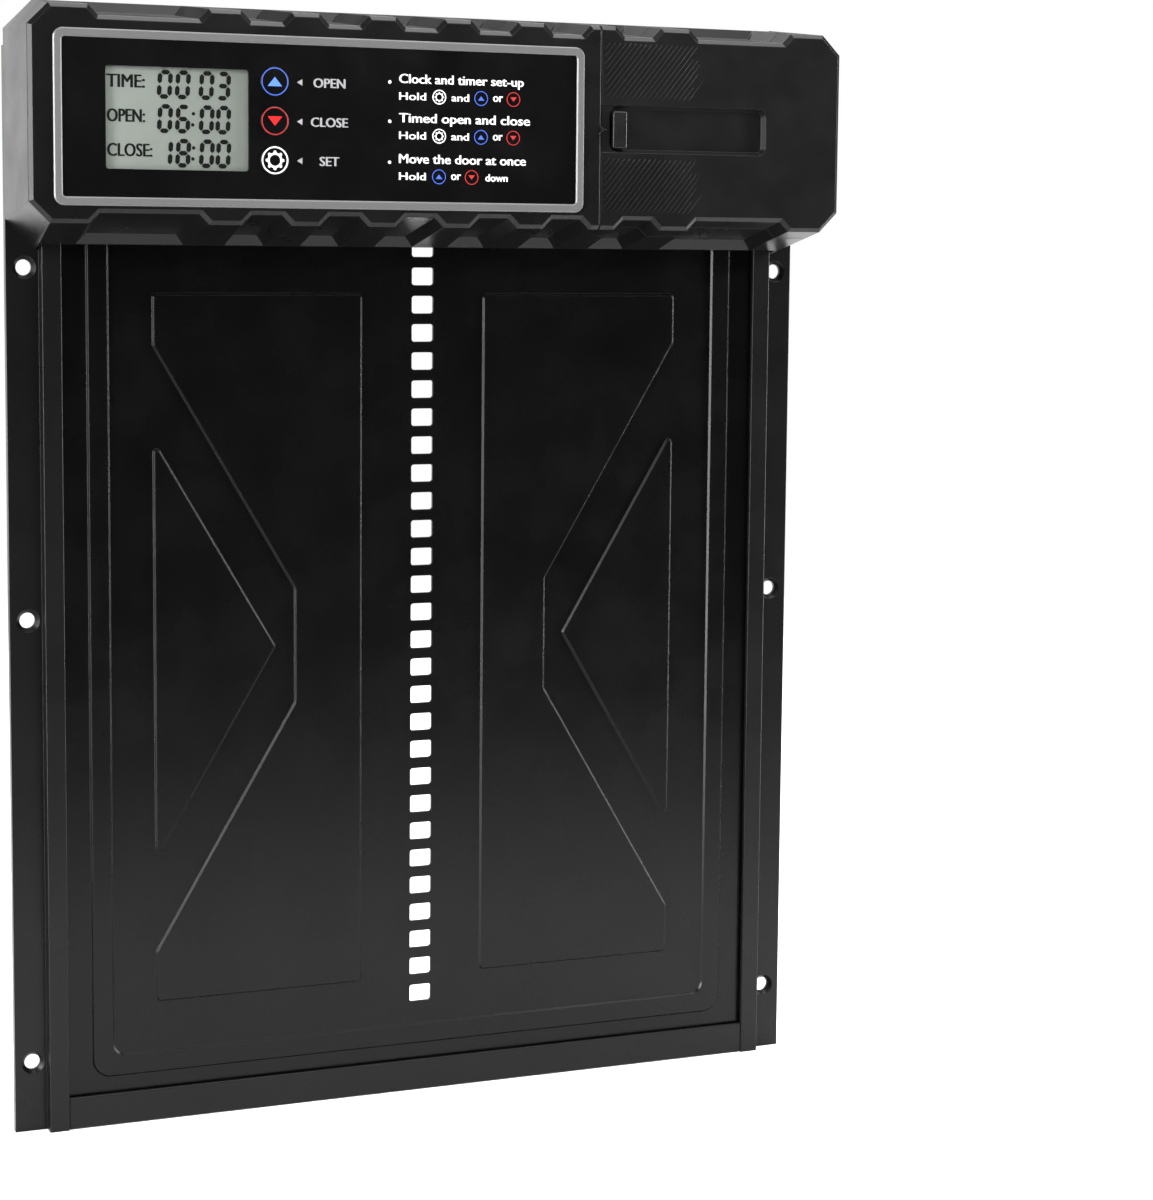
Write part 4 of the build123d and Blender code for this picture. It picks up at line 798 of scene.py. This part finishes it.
ROOM_STRENGTH = 0.03                        # what the white room adds to the light
BACKDROP_STRENGTH = 1.0                     # how white the camera sees it
world = bpy.data.worlds.new("studio")
world.use_nodes = True
bpy.context.scene.world = world
tree = world.node_tree
background = tree.nodes["Background"]
background.inputs["Color"].default_value = (1, 1, 1, 1)
background.inputs["Strength"].default_value = ROOM_STRENGTH
visible = tree.nodes.new("ShaderNodeBackground")
visible.inputs["Color"].default_value = (1, 1, 1, 1)
visible.inputs["Strength"].default_value = BACKDROP_STRENGTH
rays = tree.nodes.new("ShaderNodeLightPath")
blend = tree.nodes.new("ShaderNodeMixShader")
tree.links.new(rays.outputs["Is Camera Ray"], blend.inputs["Fac"])
tree.links.new(background.outputs[0], blend.inputs[1])
tree.links.new(visible.outputs[0], blend.inputs[2])
tree.links.new(blend.outputs[0], tree.nodes["World Output"].inputs["Surface"])

CAMERA_PLACE = (-0.3569, -0.9843, 0.1538)
CAMERA_YAW = 0.4055                         # radians to the right of +Y
CAMERA_PITCH = -0.1060
CAMERA_ROLL = 0.0097
FOCAL = 83.4
CAMERA_SHIFT = -0.05

forward = Vector((
    math.sin(CAMERA_YAW) * math.cos(CAMERA_PITCH),
    math.cos(CAMERA_YAW) * math.cos(CAMERA_PITCH),
    math.sin(CAMERA_PITCH),
))
level = Vector((math.cos(CAMERA_YAW), -math.sin(CAMERA_YAW), 0))
upward = level.cross(forward)
right = level * math.cos(CAMERA_ROLL) + upward * math.sin(CAMERA_ROLL)
up = upward * math.cos(CAMERA_ROLL) - level * math.sin(CAMERA_ROLL)
camera_data = bpy.data.cameras.new("camera")
camera_data.lens = FOCAL
camera_data.shift_y = CAMERA_SHIFT
camera = bpy.data.objects.new("camera", camera_data)
bpy.context.scene.collection.objects.link(camera)
camera.matrix_world = Matrix((
    (right.x, up.x, -forward.x, CAMERA_PLACE[0]),
    (right.y, up.y, -forward.y, CAMERA_PLACE[1]),
    (right.z, up.z, -forward.z, CAMERA_PLACE[2]),
    (0, 0, 0, 1),
))
bpy.context.scene.camera = camera
bpy.context.scene.view_settings.view_transform = "Standard"
